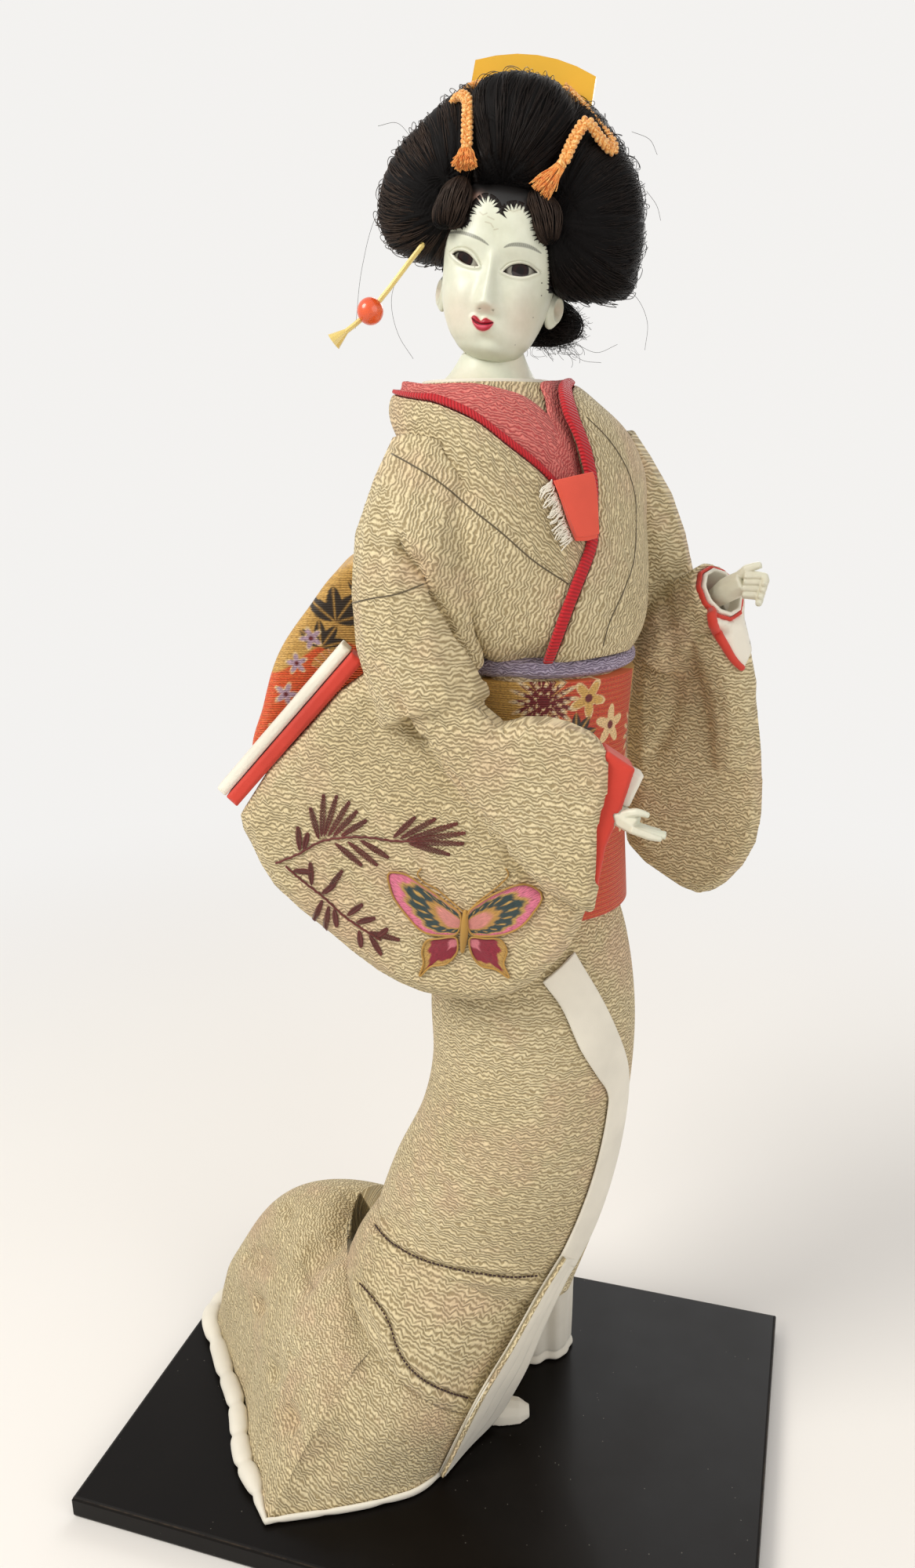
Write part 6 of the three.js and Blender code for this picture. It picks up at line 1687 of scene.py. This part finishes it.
NAPE = [(8.1, -16), (10.7, -12.2), (13.3, -9.5), (18.9, -8.7), (22.9, -4.1), (25.8, -6.2),
        (26.4, -9.2), (24.6, -12.9), (21.6, -14.6), (18, -15), (13.6, -16)]


def table_noise(x, cells, seed):
    """Smooth noise of one number, which repeats from 0 to 1."""
    values = np.random.default_rng(seed).uniform(-1, 1, cells)
    x = np.asarray(x) % 1 * cells
    i = np.floor(x).astype(int)
    f = x - i
    f = f * f * (3 - 2 * f)
    return values[i % cells] * (1 - f) + values[(i + 1) % cells] * f


def puff_rings(outline, middle, depth, gather=(0, 0), rows=90, cols=240):
    line = through(outline, cols, closed=True)
    t = np.sin(np.linspace(-1, 1, rows) * np.pi / 2) * 0.999
    share = (1 - np.abs(t) ** 2.5) ** (1 / 2.5)
    drawn = np.where(t < 0, gather[0], gather[1]) * np.abs(t) ** 3
    y = np.where(t < 0, middle[1] + (depth[0] - middle[1]) * -t,
                 middle[1] + t * (depth[1] - middle[1]))
    x = middle[0] + (line[None, :, 0] - middle[0]) * share[:, None] + drawn[:, None]
    z = middle[2] + (line[None, :, 1] - middle[2]) * share[:, None]
    return np.stack([x, np.repeat(y[:, None], cols, 1), z], -1)


def combed(name, rings, start, finish, replaces, seed, depth=0.3, wisps=260, loose=0.5, look=WISP):
    """A hair mass whose grooves and strands run as meridians from start to finish."""
    verts, faces = skin(rings)
    start, finish = np.array(start, float), np.array(finish, float)
    length = np.linalg.norm(finish - start)
    axis = unit(finish - start)
    across = unit(np.cross(axis, [0, 0, 1.0] if abs(axis[2]) < 0.8 else [1.0, 0, 0]))
    over = np.cross(axis, across)
    q = verts - start
    along = q @ axis
    angle = np.arctan2(q @ over, q @ across) / (2 * np.pi) % 1
    obj = mesh_of(name, verts, faces, HEAD)
    out = from_row(coords(obj) + normals(obj) * MM, HEAD) - verts
    drift = angle + 0.006 * np.sin(along * 0.3 + seed)
    grooves = [table_noise(drift, cells, seed + i) for i, cells in enumerate((70, 190, 460))]
    groove = 0.7 * grooves[0] + 0.6 * grooves[1] + 0.4 * grooves[2]
    set_coords(obj, to_row(verts + out * (groove * depth)[:, None], HEAD))
    set_uv(obj, angle * 0.16, along * MM, 0.16)
    finish_piece(obj, "head", HAIR.material, "hair_silk", replaces)
    made = BVHTree.FromPolygons(verts.tolist(), faces)
    middle = verts.mean(0)
    bow = middle - start - axis * ((middle - start) @ axis)
    picks = np.random.default_rng(seed + 40)
    paths, radii = [], []
    for k in range(wisps):
        t = np.linspace(picks.uniform(0.01, 0.12), picks.uniform(0.9, 0.99), 30)
        swing = picks.uniform() + 0.012 * np.sin(t * picks.uniform(2, 9) + picks.uniform(0, 6))
        turned = 2 * np.pi * swing
        rise = picks.uniform(0.05, 0.35) + loose * (picks.uniform() ** 6) * 4 * np.sin(np.pi * t)
        path = []
        for share, bend, up in zip(t, turned, rise):
            foot = start + axis * length * share + bow * math.sin(math.pi * share)
            way = across * math.cos(bend) + over * math.sin(bend)
            hit, normal, _, _ = made.ray_cast(Vector(foot), Vector(way))
            if hit is not None:
                path.append(np.array(hit) + way * up)
        if len(path) > 20:
            paths.append(np.array(path))
            radii.append(0.085 * np.sin(np.linspace(0.15, 1, len(path)) * np.pi) + 0.03)
    finish_piece(tubes(name + "_wisps", paths, radii, HEAD, 4), "head", look, "hair_silk")
    return obj


combed("bouffant_front", puff_rings(POMPADOUR, (0, -4, 33), (-20.5, 16), (0, 0)), (-1, -18, 20),
       (1, 14, 50),
       ["hair_front"], 3, wisps=420)
combed("bouffant_right", puff_rings(RIGHT_WING, (-24, 3, 21), (-14.5, 23), (6, 7)), (-14, -13, 14),
       (-16, 22, 18),
       ["hair_right"], 5, wisps=520, look=BROWN)
combed("bouffant_left", puff_rings(LEFT_WING, (25, 4, 20), (-14.5, 24), (-6, -7)), (14, -13, 14),
       (16, 22, 18),
       ["hair_left"], 7, wisps=520)
combed("bouffant_back", ball_rings((0, 23, 15), (19, 14, 22)), (0, 30, 40), (0, 24, -8),
       ["hair_back"], 9)
combed("top_knot", ball_rings((0, 19, 43), (13, 11, 10)), (-13, 19, 43), (13, 19, 43),
       ["hair_knot"], 11)
combed("nape_hair", ball_rings((7, 21, -8.5), (18, 7.5, 8.5), tilt=4), (7, 20, 3), (7, 22, -18),
       ["hair_nape"], 13)
tight = [(18 + (x - 18) * 0.86, (z + 11) * 0.86 - 11) for x, z in NAPE]
nape_tuft = combed("nape_tuft", puff_rings(tight, (18, 20, -11), (15, 25), rows=40, cols=120),
                   (9, 18, -12), (24, 22, -10), [], 19)
combed("tuft_right",
       puff_rings(RIGHT_TUFT, (-14.4, -15.4, 13.6), (-18.8, -10.5), rows=40, cols=110),
       (-12.4, -14, 22.5),
       (-14.8, -15.4, 7.4), ["forelock_right"], 15, 0.22, 160, 0.2, BROWN)
combed("tuft_left", puff_rings(LEFT_TUFT, (12.2, -13.4, 14.4), (-17.2, -9), rows=40, cols=110),
       (8.4, -13, 21.5), (15, -14, 7.8), ["forelock_left"], 17, 0.22, 160, 0.2, BROWN)

cap = remeshed("hair_cap_skin", ["hair_cap"], 0.6, 3)
p = from_row(coords(cap), HEAD)
set_uv(cap, p[:, 0] * MM, p[:, 2] * MM)
finish_piece(cap, "head", HAIR.material, "hair_silk", ["hair_cap"])

# Wiry hairs: loops that spring from the nape, and long strays off the wings

paths = []
for k in range(170):
    foot = np.array([rng.uniform(7, 21), rng.uniform(15, 25), rng.uniform(-16, -6)])
    tip = foot + np.array([rng.uniform(0.5, 8), rng.uniform(-3, 4), rng.uniform(-5.5, 3.5)])
    curl = rng.uniform(0.6, 2.2)
    t = np.linspace(0, 1, 22)[:, None]
    swirl = np.column_stack([np.sin(t * 7 + k), np.cos(t * 5 + k),
                             np.sin(t * 6 + 2 * k)]) * curl * t
    paths.append(foot + (tip - foot) * t + swirl)
for points in ([(-36, 6, 22), (-41, 4, 12), (-43, 2, -4), (-42, 0, -22)],
               [(-30, 8, 2), (-33, 4, -10), (-28, 0, -22), (-22, -2, -28)],
               [(38, 10, 30), (42, 8, 26), (44, 6, 22)],
               [(36, 12, 4), (42, 10, 0), (46, 8, -6), (47, 6, -14)],
               [(-34, 8, 34), (-40, 8, 38), (-45, 6, 36)],
               [(24, 22, -14), (32, 18, -16), (38, 14, -13)],
               [(20, 20, -15), (28, 18, -19), (34, 15, -19)],
               [(30, 14, 46), (36, 12, 44), (39, 10, 40)]):
    paths.append(through(points, 26))
finish_piece(tubes("stray_hairs", paths, 0.055, HEAD, 4), "head", WISP, "hair_silk")

# Wiry curls all round the nape tuft

picks = np.random.default_rng(73)
skin_points = from_row(coords(nape_tuft), HEAD)
paths = []
for foot in skin_points[picks.integers(0, len(skin_points), 420)]:
    away = unit(foot - np.array([18, 20, -11]) + picks.normal(0, 2.5, 3))
    t = np.linspace(0, 1, 18)[:, None]
    beat = picks.uniform(4, 9, 3)
    waves = [np.sin(t * b + picks.uniform(0, 6)) for b in beat]
    swirl = np.column_stack(waves) * picks.uniform(0.3, 1.1) * t
    paths.append(foot - away * 0.3 + away * picks.uniform(1.2, 4.2) * t + swirl)
finish_piece(tubes("nape_curls", paths, 0.06, HEAD, 4), "head", WISP, "hair_silk")

# Hairline: tufts that taper to points on the brow and down the temple

picks = np.random.default_rng(71)
line = through(HAIRLINE, 420)
brow = tree_of(face)
paths, radii = [], []
for k in range(56):
    share = (k + picks.uniform(0.3, 0.7)) / 56
    i = min(max(int(share * 419), 3), 416)
    along = unit(line[i + 3] - line[i - 3])
    inward = np.array([-along[1], along[0]])
    inward = inward * np.sign(inward @ (np.array([636, 345]) - line[i]))
    long = picks.uniform(6.5, 10) * (1 if 0.16 < share < 0.74 else 0.5)
    lean = along * picks.uniform(-1.6, 1.6)
    for h in (-2, -1, 0, 1, 2):
        foot = line[i] - inward * 2.5 + along * h * 0.8
        tip = line[i] + inward * long * (1 - 0.1 * abs(h)) + lean + along * h * 0.12
        t = np.linspace(0, 1, 8)[:, None]
        paths.append(cast(brow, foot * (1 - t) + tip * t, 0.05) / MM)
        radii.append(0.17 * (1 - np.linspace(0, 1, 8)) ** 0.8 + 0.025)
finish_piece(tubes("hairline_tufts", paths, radii, sides=5), "head", WISP, "hair_silk")

# Plaited cords and their frayed tassels

CORD = Nodes("cord_look", 0.5, Sheen_Weight=0.3, Specular_IOR_Level=0.3)
fibre = CORD.noise(CORD.coord("Object"), 1800, 3, 0.6)
CORD.colour(CORD.ramp(fibre, (0.3, srgb(190, 110, 36)), (0.48, srgb(236, 160, 76)),
                      (0.66, srgb(255, 220, 150))))
CORD.relief((fibre, 0.0002, 0.6))
FRAY = Nodes("tassel_look", 0.55, Sheen_Weight=0.2)
FRAY.colour(FRAY.ramp(FRAY.noise(FRAY.coord("Object"), 700, 3, 0.6), (0.35, srgb(230, 126, 36)),
                      (0.7, srgb(250, 190, 104))))
RIGHT_CORD = [(-11, 0.2, 50.5), (-17, -2.5, 47.5), (-20, -7, 42), (-18.2, -10, 43.2),
              (-15, -13.5, 41.5), (-13.6, -16, 36), (-12.5, -17, 29.5)]
LEFT_CORD = [(10, 0.2, 51.5), (16, -3, 47), (22, -5, 42), (27, -6.5, 37.5), (27.4, -8.5, 35.4),
             (24, -11.5, 37), (19.4, -14.5, 40), (17.4, -16, 36), (15.4, -17, 29)]
for side, points, end in (("right", RIGHT_CORD, (-11.8, -19.4, 23.3)),
                          ("left", LEFT_CORD, (10.5, -18.5, 20.5))):
    path = through(points, 420)
    aside, upward = frames_along(path)
    run = np.concatenate([[0], np.cumsum(np.linalg.norm(np.diff(path, axis=0), axis=1))])
    plait = []
    for k in range(3):
        beat = run / 4.2 * 2 * np.pi + k * 2 * np.pi / 3
        swing, rise = np.sin(beat) * 1.15, np.sin(2 * beat) * 0.6
        plait.append(path + aside * swing[:, None] + upward * rise[:, None])
    made = tubes("plait_" + side, plait, 0.66, HEAD, 10)
    finish_piece(made, "head", CORD.material, "hair_cord", ["hair_cord_" + side])
    knot, end = path[-1], np.array(end)
    down = unit(end - knot)
    sideways = unit(np.cross(down, [0, -1.0, 0.2]))
    fronts = np.cross(sideways, down)
    threads = []
    for k in range(150):
        angle, spread = rng.uniform(0, 2 * np.pi), rng.uniform() ** 0.5
        t = np.linspace(0, 1, 12)[:, None]
        way = sideways * math.cos(angle) + fronts * math.sin(angle) * 0.7
        long = np.linalg.norm(end - knot) * rng.uniform(0.8, 1.12)
        out = 0.9 * spread + (0.5 + 2.4 * spread) * t ** 1.2 - 0.45 * bump(t - 0.16, 0.08)
        wave = 0.2 * np.sin(t * 9 + k) * sideways
        threads.append(knot - down * 0.6 + down * long * t + way * out + wave)
    made = tubes("tassel_threads_" + side, threads, 0.16, HEAD, 4)
    finish_piece(made, "head", FRAY.material, "hair_cord", ["tassel_" + side])
    s = np.linspace(0, 18.8, 60)[:, None]
    ring = 1.25 * (sideways * np.cos(s) + fronts * np.sin(s))
    coil = knot + down * 0.5 + ring + down * (0.35 * s / 6.28)
    wrap = tubes("tassel_wrap_" + side, [coil], 0.3, HEAD)
    finish_piece(wrap, "head", CORD.material, "hair_cord")

# Comb and hairpin keep their CAD shapes, and a round bead stands for the pin's

AMBER = Nodes("amber_look", 0.3, IOR=1.5, Specular_IOR_Level=0.3, Coat_Weight=0.1)
AMBER.shader.inputs["Transmission Weight"].default_value = 0.1
grain = AMBER.noise(AMBER.coord("Object", (1, 1, 5)), 50, 3)
grain = AMBER.ramp(grain, (0.35, srgb(204, 138, 10)), (0.7, srgb(232, 164, 26)))
# Painted highlight: the comb's sharp rims are lighter.
edges = AMBER.fade(AMBER.add("NewGeometry").outputs["Pointiness"], 0.5, 0.54)
AMBER.colour(AMBER.mix(edges, grain, srgb(240, 186, 60)))
wear(AMBER.material, *cad("comb"))
CORAL = speckled("bead_look", (214, 70, 26), (238, 102, 48), 300, 3, 0.3, Coat_Weight=0.5)
PIN = speckled("pin_look", (214, 186, 96), (240, 218, 136), 200, 3, 0.25, Coat_Weight=0.3)
wear(PIN, *cad("hairpin"))
bead = from_row(coords(*cad("pin_bead")), ROW)
low, high = bead.min(0), bead.max(0)
verts, faces = skin(ball_rings((low + high) / 2, (high - low) / 2 * 1.01, 60, 90))
bead = mesh_of("round_bead", verts, faces, ROW)
finish_piece(bead, "hairpin", CORAL, "bead_coral", ["pin_bead"])

# Inner parts that hardly show keep their CAD shapes with materials of their own

def plain_look(name, low, high, scale, rough, stretch=(1, 1, 1), depth=0.0004, **inputs):
    n = Nodes(name, rough, **inputs)
    grain = n.noise(n.coord("Object", stretch), scale, 4, 0.6)
    n.colour(n.ramp(grain, (0.35, srgb(*low)), (0.68, srgb(*high))))
    n.relief((grain, depth, 0.6))
    return n.material


STRAW = plain_look("straw_look", (150, 120, 70), (206, 180, 120), 400, 0.85, (1, 1, 0.1))
WADDING = plain_look("wadding_look", (196, 188, 170), (226, 220, 206), 260, 0.95)
STEEL = plain_look("steel_look", (90, 90, 94), (140, 140, 146), 300, 0.4, depth=0.0001,
                   Metallic=0.9)
wear(STRAW, *cad("body_core", "obi_pillow"))
wear(WADDING, *cad("arm_right", "arm_left", "leg_right", "leg_left"))
wear(STEEL, *cad("nail_right", "nail_left"))
